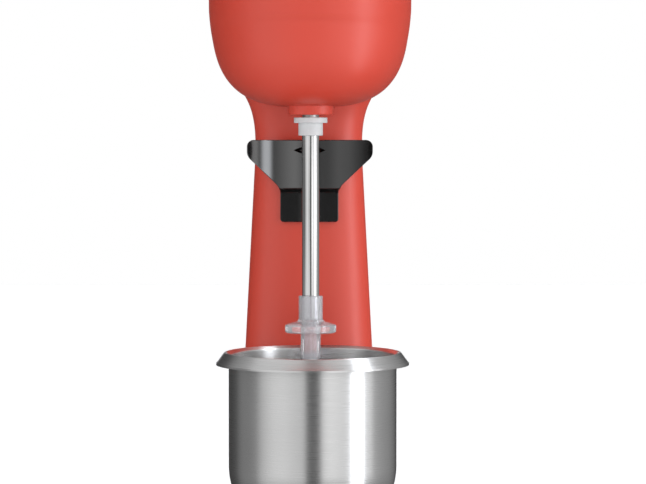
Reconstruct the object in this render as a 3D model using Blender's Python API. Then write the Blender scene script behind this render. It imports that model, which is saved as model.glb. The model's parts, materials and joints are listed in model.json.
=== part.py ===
"""A milkshake mixer: a cast housing with a motor in its head, a spindle with an agitator, a cup that
stands in the foot, and a cup holder with a sense button that starts the motor.

Every number below is in millimetres, and put() turns them into metres. The origin is on the floor under
the middle of the foot: X to the right, Y to the back, Z up.
"""

import math

import bmesh
import bpy
from mathutils import Matrix, Vector

for leftover in list(bpy.data.objects):
    bpy.data.objects.remove(leftover, do_unlink=True)

MM = 0.001
TAU = 2 * math.pi
GAP = 0.3  # between two pieces that touch
TWIST = math.radians(7)  # keeps a round cutter's corners off its neighbours' edges

# Driving dimensions
HEIGHT = 490.0
FOOT_WIDTH = 170.0
DEPTH = 214.0  # from the cup's lip to the cord gland
SPINDLE_Y = -36.0
WALL = 3.0

# Head: a superellipse in plan and in profile, split at the seam into a bowl and a cap
HEAD_Y = -4.0
HEAD_POWER = 2.4
HEAD_DEPTH_SHARE = 1.39  # half depth over half width
BOWL_BOTTOM = 338.1
BOWL_SHOULDER = 395.2
BOWL_POWER = 3.1
BOWL_HALF_WIDTH = 61.95
BOWL_DRAFT = 0.085
BOWL_LEAN = 20.0  # how far forward of the head's middle the bowl's lowest point is
HEAD_WIDEST = 435.0
DOME_POWER = 2.4
SEAM = 408.0

# Column: tapers up to the waist, then flares into the head
COLUMN_FOOT = 22.3
WAIST = 310.0
WAIST_HALF_WIDTH = 34.35
WAIST_FRONT = 27.0
WAIST_REAR = 84.0
SIDE_TAPER = 0.0527
FRONT_TAPER = 0.03
REAR_TAPER = 0.02
NECK_TOP = 350.0
NECK_FLARE = 9.3
NECK_POWER = 3.1
NAPE_TOP = 392.0
NAPE_SLIM = 0.18  # the share of the half width that the rear corners are drawn in
NAPE_SLIM_LOW = 332.0
NAPE_SLIM_MIDDLE = 359.0
NAPE_SLIM_FRONT = 45.0
NAPE_SLIM_REAR = 78.0
NAPE_SHARE = 0.985
NAPE_RUN = NECK_FLARE * NECK_POWER * (NAPE_TOP - NECK_TOP) / (NECK_TOP - WAIST)  # carries on the flare
COLUMN_POWER = 3.0

# Foot
FOOT_TOP = 22.0
FOOT_UNDERSIDE = 3.0
FOOT_WALL = 3.0
FOOT_FRONT = -98.0
FOOT_REAR = DEPTH / 2 - 1.8
FOOT_CORNER = 34.0
SEAT_RADIUS = 41.0
SEAT_FLOOR = 18.7
PAD_TOP = 4.7
COVER_LOW = 5.0
COVER_HIGH = 7.5
GLAND_Z = 13.2

# Cup
CUP_X = 1.0
CUP_Y = -48.5
CUP_FOOT = 20.3
CUP_RADIUS = 50.9
CUP_RIM = 189.0
CUP_LIP_RADIUS = 58.5
CUP_LIP_DROP = 7.0
CUP_SHEET = 0.8
SHOULDER_Z = 120.6
SHOULDER_RADIUS = 44.0
SHOULDER_SWEEP = 38.0
CUP_DRAFT = 2.5  # degrees

# Cup holder
HOLDER_RADIUS = 51.7
HOLDER_SHEET = 3.0
HOLDER_TOP = 318.0
HOLDER_BOTTOM = 266.1
HOLDER_HALF_WIDTH = 39.25
HOLDER_STEM = 18.4
HOLDER_STEM_FRONT = WAIST_FRONT - 4.4
HOLDER_SLANT = 46.0  # degrees, the wings' lower edges from the vertical
HOLDER_BREAK_HIGH = 287.6
HOLDER_BREAK_LOW = 284.6
HOLDER_SCREW_Z = 273.0
HOLDER_SCREW_X = (-9, 9)
BUTTON_Z = 311.5

# Spindle
BOSS_RADIUS = 14.1
BOSS_TIP_RADIUS = 13.6
BOSS_TIP = 333.1
STUB_RADIUS = 5.2
ROD_RADIUS = 5.28
COLLAR_TOP = 331.6
COLLAR_STEP = 328.3
COLLAR_BOTTOM = 320.6
COLLAR_FLANGE = 10.2
COLLAR_RADIUS = 7.45
SOCKET_TOP = 223.0
SOCKET_RADIUS = 7.4
DISC_TOP = 207.4
DISC_EDGE = 205.0
DISC_BOTTOM = 200.4
DISC_RADIUS = 15.65
TUBE_RADIUS = 6.2
TUBE_BORE = 4.2
TUBE_TIP = 179.5

# Motor
MOTOR_RADIUS = 38.0
SHAFT_RADIUS = 4.0
STACK_LOW, STACK_HIGH = 385.0, 425.0
ARMATURE_RADIUS = 20.8
POLE_RADIUS = 22.0
YOKE_BORE = 30.5
BEARING_RADIUS = 11.0
BEARING_HEIGHT = 7.0
LOWER_BEARING, UPPER_BEARING = 350.0, 459.0
COMMUTATOR_RADIUS = 11.0
BRUSH_Z = 445.0
BRUSH_HALF = 5.0  # half the brush holder's width

# Speed switch
SWITCH_Z = 441.0
SWITCH_FACE = 80.2

scene = bpy.context.scene


# ---------------------------------------------------------------- materials
def finish(name, colour, roughness, metallic=0.0, alpha=1.0):
    made = bpy.data.materials.new(name)
    made.use_nodes = True
    shader = made.node_tree.nodes["Principled BSDF"]
    shader.inputs["Base Color"].default_value = (*colour, 1.0)
    shader.inputs["Roughness"].default_value = roughness
    shader.inputs["Metallic"].default_value = metallic
    shader.inputs["Alpha"].default_value = alpha
    made.diffuse_color = (*colour, alpha)
    return made


CORAL = finish("coral_enamel", (0.66, 0.11, 0.08), 0.35)
BLACK = finish("black_plastic", (0.012, 0.012, 0.012), 0.18)
GREY = finish("grey_plastic", (0.45, 0.46, 0.46), 0.4)
CLEAR = finish("clear_plastic", (0.8, 0.82, 0.83), 0.1, alpha=0.4)
STEEL = finish("brushed_steel", (0.55, 0.55, 0.55), 0.3, 1.0)
ZINC = finish("zinc_plated", (0.6, 0.6, 0.58), 0.4, 1.0)
RUBBER = finish("dark_rubber", (0.02, 0.02, 0.02), 0.8)
LAMINATION = finish("lamination_steel", (0.2, 0.2, 0.21), 0.5, 0.8)
COPPER = finish("enamelled_copper", (0.5, 0.17, 0.06), 0.35, 0.9)
CARBON = finish("carbon", (0.03, 0.03, 0.03), 0.6)
BRASS = finish("brass", (0.6, 0.42, 0.15), 0.3, 1.0)
BOARD = finish("circuit_board", (0.02, 0.16, 0.06), 0.5)
IRON = finish("cast_iron", (0.08, 0.08, 0.08), 0.7, 0.6)


# ---------------------------------------------------------------- making objects
def put(name, bm, made_of, at=(0, 0, 0), turn=(0, 0, 0), helper=False):
    """Links the mesh as an object, with its origin at a point and its faces pointing out."""
    bmesh.ops.remove_doubles(bm, verts=bm.verts, dist=1e-4)
    bmesh.ops.recalc_face_normals(bm, faces=bm.faces)
    bmesh.ops.scale(bm, vec=(MM, MM, MM), verts=bm.verts)
    mesh = bpy.data.meshes.new(name)
    bm.to_mesh(mesh)
    bm.free()
    mesh.materials.append(made_of)
    mesh.shade_smooth()
    mesh.set_sharp_from_angle(angle=math.radians(35))
    made = bpy.data.objects.new(name, mesh)
    scene.collection.objects.link(made)
    made.location = [MM * c for c in at]
    made.rotation_euler = [math.radians(c) for c in turn]
    if helper:
        made.hide_render = True
        made.display_type = "WIRE"
    return made


def boolean(target, operation, *others):
    for other in others:
        step = target.modifiers.new(f"{operation.lower()}_{other.name}", "BOOLEAN")
        step.operation = operation
        step.object = other
        step.solver = "EXACT"


def hang_on(parent, *children):
    """Parents pieces to the empty that stands on their joint's axis, and leaves them where they are."""
    bpy.context.view_layer.update()
    for child in children:
        world = child.matrix_world.copy()
        child.parent = parent
        child.matrix_parent_inverse = parent.matrix_world.inverted()
        child.matrix_world = world


def axis_empty(name, at):
    made = bpy.data.objects.new(name, None)
    scene.collection.objects.link(made)
    made.location = [MM * c for c in at]
    return made


def arc(centre, radius, start, end, steps):
    """Points on a circle, from one angle to another in degrees."""
    return [
        (
            centre[0] + radius * math.cos(math.radians(start + (end - start) * i / steps)),
            centre[1] + radius * math.sin(math.radians(start + (end - start) * i / steps)),
        )
        for i in range(steps + 1)
    ]


def skin(rings):
    """A closed skin through rings of points with equal counts, and a flat end on each side."""
    bm = bmesh.new()
    rows = [[bm.verts.new(point) for point in ring] for ring in rings]
    for low, high in zip(rows, rows[1:]):
        for i, _ in enumerate(low):
            j = (i + 1) % len(low)
            bm.faces.new((low[i], low[j], high[j], high[i]))
    bm.faces.new(list(reversed(rows[0])))
    bm.faces.new(rows[-1])
    return bm


def turned(profile, segments=24):
    """Spins (radius, height) points about Z. A profile that doesn't reach the axis is closed into a ring."""
    bm = bmesh.new()
    line = [bm.verts.new((radius, 0, height)) for radius, height in profile]
    for low, high in zip(line, line[1:]):
        bm.edges.new((low, high))
    if profile[0][0] > 0 or profile[-1][0] > 0:
        bm.edges.new((line[-1], line[0]))
    around = list(bm.verts) + list(bm.edges)
    bmesh.ops.spin(bm, geom=around, cent=(0, 0, 0), axis=(0, 0, 1), angle=TAU, steps=segments)
    bmesh.ops.remove_doubles(bm, verts=bm.verts, dist=1e-4)
    return bm


def rod(radius, low, high, segments=20):
    return turned([(0, low), (radius, low), (radius, high), (0, high)], segments)


def tube(bore, radius, low, high, segments=24):
    return turned([(bore, low), (radius, low), (radius, high), (bore, high)], segments)


def block(low, high, rounding=0.0, steps=2):
    """A box between two corners, with its edges rounded."""
    bm = bmesh.new()
    size = [b - a for a, b in zip(low, high)]
    middle = [(a + b) / 2 for a, b in zip(low, high)]
    bmesh.ops.create_cube(bm, size=1)
    bmesh.ops.scale(bm, vec=size, verts=bm.verts)
    bmesh.ops.translate(bm, vec=middle, verts=bm.verts)
    if rounding:
        bmesh.ops.bevel(bm, geom=bm.edges, offset=rounding, segments=steps, affect="EDGES", profile=0.5)
    return bm


def prism(outline, low, high):
    """An outline in X and Y, raised from one height to another."""
    return skin([[(x, y, low) for x, y in outline], [(x, y, high) for x, y in outline]])


def sector(inner, outer, half_angle, low, high, middle=90.0, steps=10):
    """A piece of a ring, centred on one direction, in degrees."""
    outside = arc((0, 0), outer, middle - half_angle, middle + half_angle, steps)
    inside = arc((0, 0), inner, middle + half_angle, middle - half_angle, steps)
    return prism(outside + inside, low, high)


# ---------------------------------------------------------------- shapes of the housing
def superellipse(half_width, front, rear, power, z, count=24):
    middle, half_depth = (front + rear) / 2, (rear - front) / 2
    ring = []
    for i in range(count):
        c, s = math.cos(TAU * i / count), math.sin(TAU * i / count)
        x = half_width * math.copysign(abs(c) ** (2 / power), c)
        y = middle + half_depth * math.copysign(abs(s) ** (2 / power), s)
        ring.append((x, y, z))
    return ring


def head_half_width(z):
    """The half width before the bowl and the dome round it off: it grows to the widest level."""
    rise = min(z, HEAD_WIDEST) - BOWL_SHOULDER
    return BOWL_HALF_WIDTH + BOWL_DRAFT * rise * (1 - max(rise, 0) / (2 * (HEAD_WIDEST - BOWL_SHOULDER)))


def head_ring(z, share, inset, lean=0.0):
    half_width = (head_half_width(z) - inset) * share
    half_depth = (head_half_width(z) * HEAD_DEPTH_SHARE - inset) * share
    middle = HEAD_Y - lean
    return superellipse(half_width, middle - half_depth, middle + half_depth, HEAD_POWER, z)


def bowl_rings(inset, top, steps=7):
    """From the flat middle of the bowl's bottom up to a level above the shoulder."""
    depth = BOWL_SHOULDER - BOWL_BOTTOM - inset
    rings = []
    for i in range(steps + 1):
        t = math.radians(87 * (1 - i / steps))
        down = math.sin(t) ** (2 / BOWL_POWER)
        level = BOWL_SHOULDER - depth * down
        rings.append(head_ring(level, math.cos(t) ** (2 / BOWL_POWER), inset, BOWL_LEAN * down**2))
    rings.append(head_ring(top, 1, inset))
    return rings


def dome_rings(inset, bottom, steps=6):
    """From a level below the widest up to the top of the head."""
    rise = HEIGHT - HEAD_WIDEST - inset
    rings = [head_ring(bottom, 1, inset), head_ring((bottom + HEAD_WIDEST) / 2, 1, inset)]
    for i in range(steps + 1):
        t = math.radians(87 * i / steps)
        level = HEAD_WIDEST + rise * math.sin(t) ** (2 / DOME_POWER)
        rings.append(head_ring(level, math.cos(t) ** (2 / DOME_POWER), inset))
    return rings


def column_section(z):
    """(half width, front, rear) of the column's outside at a height."""
    below = max(WAIST - z, 0)
    flare = NECK_FLARE * (max(min(z, NECK_TOP) - WAIST, 0) / (NECK_TOP - WAIST)) ** NECK_POWER
    half_width = WAIST_HALF_WIDTH + SIDE_TAPER * below + flare
    front = WAIST_FRONT - FRONT_TAPER * below - flare
    rear = WAIST_REAR + REAR_TAPER * below - 0.05 * max(z - WAIST, 0)
    return half_width, front, rear


def column_front(x, z):
    """How far back the column's front surface is at a point."""
    half_width, front, rear = column_section(z)
    half_depth = (rear - front) / 2
    across = min(abs(x) / half_width, 1)
    return (front + rear) / 2 - half_depth * (1 - across**COLUMN_POWER) ** (1 / COLUMN_POWER)


def eased_share(value):
    """0 below 0, 1 above 1, and a smooth run between."""
    share = min(max(value, 0), 1)
    return share * share * (3 - 2 * share)


def slimmed(ring):
    """Draws in a ring's rear corners below the head, so that they run smoothly up into it."""
    points = []
    for x, y, z in ring:
        rise = eased_share((z - NAPE_SLIM_LOW) / (NAPE_SLIM_MIDDLE - NAPE_SLIM_LOW))
        fall = eased_share((NAPE_TOP - z) / (NAPE_TOP - NAPE_SLIM_MIDDLE))
        rearward = eased_share((y - NAPE_SLIM_FRONT) / (NAPE_SLIM_REAR - NAPE_SLIM_FRONT))
        points.append((x * (1 - NAPE_SLIM * rise * fall * rearward), y, z))
    return points


def nape_ring(share, inset):
    """Between the top of the neck, at share 0, and the head's own outline just inside the bowl, at 1."""
    z = NECK_TOP + (NAPE_TOP - NECK_TOP) * share
    ease = share * share * (3 - 2 * share)
    neck_half_width, neck_front, neck_rear = column_section(NECK_TOP)
    head = head_half_width(z) * NAPE_SHARE
    half_width = neck_half_width + (head - neck_half_width) * ease + NAPE_RUN * share * (1 - share) ** 2
    front = neck_front + (HEAD_Y - head * HEAD_DEPTH_SHARE - neck_front) * ease
    rear = neck_rear + (HEAD_Y + head * HEAD_DEPTH_SHARE - neck_rear) * ease
    power = COLUMN_POWER + (HEAD_POWER - COLUMN_POWER) * ease
    return slimmed(superellipse(half_width - inset, front + inset, rear - inset, power, z))


def column_rings(inset, bottom):
    """Up the column and the neck, then out into the back of the head."""
    rings = []
    for z in [bottom, 120, 220, WAIST, 322, 332, 339, 345]:
        half_width, front, rear = column_section(z)
        rings.append(slimmed(superellipse(half_width - inset, front + inset, rear - inset, COLUMN_POWER, z)))
    return rings + [nape_ring(i / 5, inset) for i in range(6)]


# ---------------------------------------------------------------- housing
POST_PLACES = [(42.2, SPINDLE_Y), (-42.2, SPINDLE_Y)]
CORNER_PLACES = [(x, y) for x in (37, -37) for y in (34, 75)]
COVER_SCREW_LEVELS = (92, 252)
COVER_SCREW_SEAT = 1.0
CAP_SCREW_PLACES = [(36, 36), (-36, 36)]
COVER_HALF_WIDTH, COVER_BOTTOM_EDGE, COVER_TOP_EDGE = 25.0, 70.0, 275.0
GRILLE_LEVELS = [206 + 4.5 * i for i in range(6)]


def upright(name, radius, places, low, high, segments=10):
    """Vertical cylinders at several places, as one helper."""
    bm = bmesh.new()
    for x, y in places:
        bmesh.ops.create_cone(
            bm,
            cap_ends=True,
            segments=segments,
            radius1=radius,
            radius2=radius,
            depth=high - low,
            matrix=Matrix.Translation((x, y, (low + high) / 2)) @ Matrix.Rotation(TWIST, 4, "Z"),
        )
    return put(name, bm, GREY, helper=True)


def level_rods(name, radius, places, front, back, segments=10):
    """Cylinders along Y at several (x, z) places, as one helper."""
    bm = bmesh.new()
    for x, z in places:
        turn = Matrix.Rotation(math.radians(90), 4, "X")
        bmesh.ops.create_cone(
            bm,
            cap_ends=True,
            segments=segments,
            radius1=radius,
            radius2=radius,
            depth=back - front,
            matrix=Matrix.Translation((x, (front + back) / 2, z)) @ turn @ Matrix.Rotation(TWIST, 4, "Z"),
        )
    return put(name, bm, GREY, helper=True)


def blocks(name, corners, rounding=0.0):
    """Several boxes that don't touch, as one helper."""
    bm = bmesh.new()
    for low, high in corners:
        one = block(low, high, rounding)
        mesh = bpy.data.meshes.new("one_block")
        one.to_mesh(mesh)
        one.free()
        bm.from_mesh(mesh)
        bpy.data.meshes.remove(mesh)
    return put(name, bm, GREY, helper=True)


def housing_cavity():
    """The hollow of the bowl and the column, less the posts that stand in it."""
    cavity = put("cavity_bowl", skin(bowl_rings(WALL, SEAM + 5)), GREY, helper=True)
    column = put("cavity_column", skin(column_rings(WALL, COLUMN_FOOT - 5)), GREY, helper=True)
    boolean(cavity, "UNION", column)
    boolean(cavity, "DIFFERENCE", upright("motor_posts", 4, POST_PLACES, 330, 362.5))
    boolean(cavity, "DIFFERENCE", upright("corner_posts", 5, CORNER_PLACES, 10, 48))
    cover_posts = [(0, z) for z in COVER_SCREW_LEVELS]
    boolean(cavity, "DIFFERENCE", level_rods("cover_posts", 5, cover_posts, 10, 79.5))
    return cavity


def rear_opening(margin):
    """The window in the column's back, which the rear cover fills less a margin."""
    low = (-COVER_HALF_WIDTH + margin, 70, COVER_BOTTOM_EDGE + margin)
    high = (COVER_HALF_WIDTH - margin, 110, COVER_TOP_EDGE - margin)
    return low, high


def make_housing():
    housing = put("housing", skin(bowl_rings(0, SEAM)), CORAL)
    boolean(housing, "UNION", put("column_outside", skin(column_rings(0, COLUMN_FOOT)), CORAL, helper=True))
    boss = turned([(0, 350), (BOSS_RADIUS + 1, 350), (BOSS_RADIUS, 338), (BOSS_TIP_RADIUS, BOSS_TIP + 0.6),
                   (BOSS_TIP_RADIUS - 0.6, BOSS_TIP), (0, BOSS_TIP)], 40)
    boolean(housing, "UNION", put("boss_outside", boss, CORAL, at=(0, SPINDLE_Y, 0), helper=True))
    boolean(housing, "DIFFERENCE", housing_cavity())
    bore = rod(10, BOSS_TIP - 5, 360)
    boolean(housing, "DIFFERENCE", put("boss_bore", bore, GREY, at=(0, SPINDLE_Y, 0), helper=True))
    boolean(housing, "DIFFERENCE", blocks("rear_window", [rear_opening(0)]))
    button_hole = blocks("button_hole", [((-5.6, 10, BUTTON_Z - 2.1), (5.6, 40, BUTTON_Z + 2.1))])
    boolean(housing, "DIFFERENCE", button_hole)
    holder_holes = [(x, HOLDER_SCREW_Z) for x in HOLDER_SCREW_X]
    boolean(housing, "DIFFERENCE", level_rods("holder_screw_holes", 2.3, holder_holes, 10, 40))
    boolean(housing, "DIFFERENCE", upright("motor_post_holes", 2.0, POST_PLACES, 356.5, 370))
    boolean(housing, "DIFFERENCE", upright("corner_post_holes", 2.0, CORNER_PLACES, 10, 42))
    cover_holes = [(0, z) for z in COVER_SCREW_LEVELS]
    boolean(housing, "DIFFERENCE", level_rods("cover_post_holes", 1.9, cover_holes, 62, 90))
    return housing


def make_rear_cover():
    """The same skin as the column, cut to the window."""
    cover = put("rear_cover", skin(column_rings(0, COLUMN_FOOT)), CORAL)
    inside = put("cover_inside", skin(column_rings(WALL - 0.5, COLUMN_FOOT - 5)), GREY, helper=True)
    boolean(cover, "DIFFERENCE", inside)
    boolean(cover, "INTERSECT", blocks("cover_outline", [rear_opening(GAP)]))
    slots = [((-17, 70, z), (17, 110, z + 2.2)) for z in GRILLE_LEVELS]
    boolean(cover, "DIFFERENCE", blocks("cover_slots", slots))
    holes = [(0, z) for z in COVER_SCREW_LEVELS]
    boolean(cover, "DIFFERENCE", level_rods("cover_holes", 2.0, holes, 60, 110))
    for z in COVER_SCREW_LEVELS:
        seat = column_section(z)[2] - COVER_SCREW_SEAT
        boolean(cover, "DIFFERENCE", level_rods(f"cover_head_hole_{z}", 3.6, [(0, z)], seat, 110))
    return cover


def screw(name, head_radius, head_height, shank_radius, length, at, turn):
    """A pan head screw: its shank points down Z before it is turned, and its head sits above zero."""
    profile = [
        (0, -length),
        (shank_radius, -length),
        (shank_radius, 0),
        (head_radius, 0),
        (head_radius * 0.8, head_height),
        (0, head_height),
    ]
    return put(name, turned(profile, 8), ZINC, at=at, turn=turn)


def make_head_cap():
    cap = put("head_cap", skin(dome_rings(0, SEAM + GAP)), CORAL)
    cavity = put("cap_cavity", skin(dome_rings(WALL, SEAM - 5)), GREY, helper=True)
    pad = ((-21, 76, SWITCH_Z - 21), (21, 100, SWITCH_Z + 21))
    boolean(cavity, "DIFFERENCE", blocks("switch_pad", [pad]))
    boolean(cavity, "DIFFERENCE", upright("cap_posts", 4.5, CAP_SCREW_PLACES, SEAM + 4, HEIGHT))
    boolean(cap, "DIFFERENCE", cavity)
    recess = ((-14.5, SWITCH_FACE, SWITCH_Z - 15), (14.5, 100, SWITCH_Z + 15))
    boolean(cap, "DIFFERENCE", blocks("switch_recess", [recess], 1.5))
    window = ((-11.4, 60, SWITCH_Z - 11.4), (11.4, 100, SWITCH_Z + 11.4))
    boolean(cap, "DIFFERENCE", blocks("switch_window", [window]))
    slots = [
        ((x - 1.3, 20, 422), (x + 1.3, 100, 458))
        for side in (-1, 1)
        for x in [side * (27 + 5.5 * i) for i in range(4)]
    ]
    boolean(cap, "DIFFERENCE", blocks("cap_slots", slots))
    boolean(cap, "DIFFERENCE", upright("cap_post_holes", 1.9, CAP_SCREW_PLACES, SEAM - 5, 430))
    return cap


# ---------------------------------------------------------------- foot
def foot_outline(inset):
    """Half a circle at the front, straight sides, and round corners at the back."""
    radius = FOOT_WIDTH / 2 - inset
    front_centre = FOOT_FRONT + FOOT_WIDTH / 2
    corner = FOOT_CORNER - inset
    rear_centre = FOOT_REAR - FOOT_CORNER
    side = FOOT_WIDTH / 2 - FOOT_CORNER
    outline = arc((0, front_centre), radius, 180, 360, 20)
    outline += arc((side, rear_centre), corner, 0, 90, 6)
    outline += arc((-side, rear_centre), corner, 90, 180, 6)
    return outline


PAD_PLACES = [(46, -66), (-46, -66), (62, 80), (-62, 80)]


def make_foot():
    rounding = 7.0
    rings = [[(x, y, FOOT_UNDERSIDE) for x, y in foot_outline(1.2)]]
    rings.append([(x, y, FOOT_UNDERSIDE + 1.2) for x, y in foot_outline(0)])
    for reach, rise in arc((0, 0), rounding, 0, 90, 3):
        level = FOOT_TOP - rounding + rise
        rings.append([(x, y, level) for x, y in foot_outline(rounding - reach)])
    foot = put("foot", skin(rings), CORAL)
    hollow = prism(foot_outline(FOOT_WALL + 2.5), FOOT_UNDERSIDE - 5, SEAT_FLOOR - FOOT_WALL)
    boolean(foot, "DIFFERENCE", put("foot_hollow", hollow, GREY, helper=True))
    recess = prism(foot_outline(FOOT_WALL - 1.0), FOOT_UNDERSIDE - 5, COVER_HIGH + GAP)
    boolean(foot, "DIFFERENCE", put("cover_recess", recess, GREY, helper=True))
    seat = rod(SEAT_RADIUS, SEAT_FLOOR, FOOT_TOP + 5, 36)
    boolean(foot, "DIFFERENCE", put("seat_recess", seat, GREY, at=(0, CUP_Y, 0), helper=True))
    boolean(foot, "DIFFERENCE", upright("column_screw_holes", 2.3, CORNER_PLACES, 10, 30))
    boolean(foot, "DIFFERENCE", upright("harness_way", 9, [(0, 62)], 10, 30, 20))
    boolean(foot, "DIFFERENCE", level_rods("gland_hole", 5.4, [(0, GLAND_Z)], 90, 115, 20))
    return foot


def make_foot_cover():
    cover = put("foot_cover", prism(foot_outline(FOOT_WALL - 1.0 + GAP), COVER_LOW, COVER_HIGH), BLACK)
    boolean(cover, "DIFFERENCE", upright("pad_stud_holes", 3.0, PAD_PLACES, COVER_LOW - 5, COVER_HIGH + 5))
    return cover


def make_foot_pads():
    profile = [(0, 0), (8, 0), (9, 1), (9, PAD_TOP), (2.6, PAD_TOP), (2.6, 10.4), (0, 10.4)]
    for number, (x, y) in enumerate(PAD_PLACES, 1):
        put(f"foot_pad_{number}", turned(profile, 12), RUBBER, at=(x, y, 0))


# ---------------------------------------------------------------- cup and cup holder
def cup_profile():
    """Down the outside of the sheet from the hem, then up the inside."""
    draft = math.radians(CUP_DRAFT)
    hip = (CUP_RADIUS - SHOULDER_RADIUS, SHOULDER_Z)
    fillet = 14.0
    steps = 4

    def wall(offset):
        """The sheet's line below the lip, at an offset inwards."""
        line = [(CUP_RADIUS - offset, CUP_RIM - 7)]
        line += arc(hip, SHOULDER_RADIUS - offset, 0, -SHOULDER_SWEEP, steps)
        reach = SHOULDER_RADIUS + fillet
        turn = math.radians(SHOULDER_SWEEP)
        centre = (hip[0] + reach * math.cos(turn), hip[1] - reach * math.sin(turn))
        line += arc(centre, fillet + offset, 180 - SHOULDER_SWEEP, 180 - CUP_DRAFT, 3)[1:]
        waist = line[-1]
        drop = waist[1] - CUP_FOOT - 2.5
        line.append((waist[0] - drop * math.tan(draft), CUP_FOOT + 2.5))
        return line

    outside = wall(0)
    inside = wall(CUP_SHEET)
    foot_radius = outside[-1][0]
    tip = (CUP_LIP_RADIUS - 0.4, CUP_RIM - CUP_LIP_DROP - 0.3)
    lip_under = [
        tip,
        (CUP_RADIUS + 3.1, CUP_RIM - 1.5),
        (CUP_RADIUS + 1.5, CUP_RIM - 1.4),
        (CUP_RADIUS + 0.4, CUP_RIM - 3),
    ]
    under_floor = CUP_FOOT + 1.5
    foot = [
        (foot_radius - 1.6, CUP_FOOT),
        (foot_radius - 4, CUP_FOOT),
        (foot_radius - 5.5, under_floor),
        (0, under_floor),
    ]
    floor = [
        (0, under_floor + CUP_SHEET),
        (foot_radius - 6, under_floor + CUP_SHEET),
        (foot_radius - 3, CUP_FOOT + CUP_SHEET + 0.6),
    ]
    lip_over = [
        (CUP_RADIUS - 0.5, CUP_RIM - 2.4),
        (CUP_RADIUS + 0.4, CUP_RIM - 0.7),
        (CUP_RADIUS + 2.0, CUP_RIM),
        (CUP_RADIUS + 3.3, CUP_RIM - 0.6),
        (CUP_LIP_RADIUS, CUP_RIM - CUP_LIP_DROP + 0.5),
    ]
    return lip_under + outside + foot + floor + list(reversed(inside)) + lip_over


def holder_outline():
    """(half width, height) from the middle of the top edge down one side to the bottom edge."""
    top_corner, shoulder, armpit, bottom_corner = 4.2, 7.0, 9.5, 2.0
    line = arc((HOLDER_HALF_WIDTH - top_corner, HOLDER_TOP - top_corner), top_corner, 90, 0, 3)
    line += arc((HOLDER_HALF_WIDTH - shoulder, HOLDER_TOP - 7.2), shoulder, 0, -HOLDER_SLANT, 3)
    slant = math.radians(HOLDER_SLANT)
    start = line[-1]
    run = start[0] - HOLDER_STEM - armpit * (1 - math.cos(slant))
    end = (start[0] - run, start[1] - run / math.tan(slant))
    centre = (end[0] + armpit * math.cos(slant), end[1] - armpit * math.sin(slant))
    line += [(start[0] + (end[0] - start[0]) * t, start[1] + (end[1] - start[1]) * t) for t in (0.35, 0.7)]
    line += arc(centre, armpit, 180 - HOLDER_SLANT, 180, 3)
    line += [(HOLDER_STEM, 275)]
    line += arc((HOLDER_STEM - bottom_corner, HOLDER_BOTTOM + bottom_corner), bottom_corner, 0, -90, 2)
    return line


def holder_setback(z):
    """0 on the upright wings, 1 on the stem, and a smooth break between."""
    t = min(max((HOLDER_BREAK_HIGH - z) / (HOLDER_BREAK_HIGH - HOLDER_BREAK_LOW), 0), 1)
    return t * t * (3 - 2 * t)


def holder_front(x, z):
    hollow = SPINDLE_Y + math.sqrt(HOLDER_RADIUS**2 - x**2)
    share = holder_setback(z)
    return hollow * (1 - share) + HOLDER_STEM_FRONT * share


def holder_back(x, z):
    wing = SPINDLE_Y + math.sqrt((HOLDER_RADIUS + HOLDER_SHEET) ** 2 - x**2)
    against_column = column_front(x, z) - GAP
    share = holder_setback(z)
    return wing * (1 - share) + against_column * share


def make_holder():
    columns = 10
    bm = bmesh.new()
    sides = []
    for surface in (holder_front, holder_back):
        rows = []
        for half_width, z in holder_outline():
            across = [half_width * (2 * i / columns - 1) for i in range(columns + 1)]
            rows.append([bm.verts.new((x, surface(x, z), z)) for x in across])
        sides.append(rows)
    for rows in sides:
        for high, low in zip(rows, rows[1:]):
            for i in range(columns):
                bm.faces.new((high[i], high[i + 1], low[i + 1], low[i]))
    front, back = sides
    for edge_front, edge_back in ((front[0], back[0]), (front[-1], back[-1])):
        for i in range(columns):
            bm.faces.new((edge_front[i], edge_front[i + 1], edge_back[i + 1], edge_back[i]))
    for end in (0, -1):
        for row in range(len(front) - 1):
            bm.faces.new((front[row][end], front[row + 1][end], back[row + 1][end], back[row][end]))
    holder = put("cup_holder", bm, BLACK)
    slot_outline = arc((8, 0), 2.0, -90, 90, 4) + arc((-8, 0), 2.0, 90, 270, 4)
    slot = prism(slot_outline, 0, 30)
    cutter = put("button_slot", slot, GREY, at=(0, 35, BUTTON_Z), turn=(90, 0, 0), helper=True)
    boolean(holder, "DIFFERENCE", cutter)
    holes = [(x, HOLDER_SCREW_Z) for x in HOLDER_SCREW_X]
    boolean(holder, "DIFFERENCE", level_rods("holder_pilot_holes", 1.9, holes, HOLDER_STEM_FRONT + 1.5, 40))
    return holder


def make_button():
    """A flat tongue through the holder's slot and the column, with a flange that stops inside."""
    button = put("sense_button", block((-5, 12.6, BUTTON_Z - 1.6), (5, 31, BUTTON_Z + 1.6), 0.7, 2), BLACK)
    flange = blocks("button_flange", [((-9.5, 30.8, BUTTON_Z - 4), (9.5, 32.8, BUTTON_Z + 4))])
    boolean(button, "UNION", flange)
    return button


def coil(radius, wire, turns, length, sides=4, per_turn=8):
    """A round wire wound about Z, from zero up to a length."""
    rings = []
    steps = int(turns * per_turn)
    climb = length - 2 * wire
    for i in range(steps + 1):
        angle = TAU * i / per_turn
        middle = Vector((radius * math.cos(angle), radius * math.sin(angle), wire + climb * i / steps))
        out = Vector((math.cos(angle), math.sin(angle), 0))
        up = Vector((0, 0, 1))
        spokes = [TAU * k / sides for k in range(sides)]
        rings.append([middle + wire * (out * math.cos(t) + up * math.sin(t)) for t in spokes])
    return skin(rings)


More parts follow.
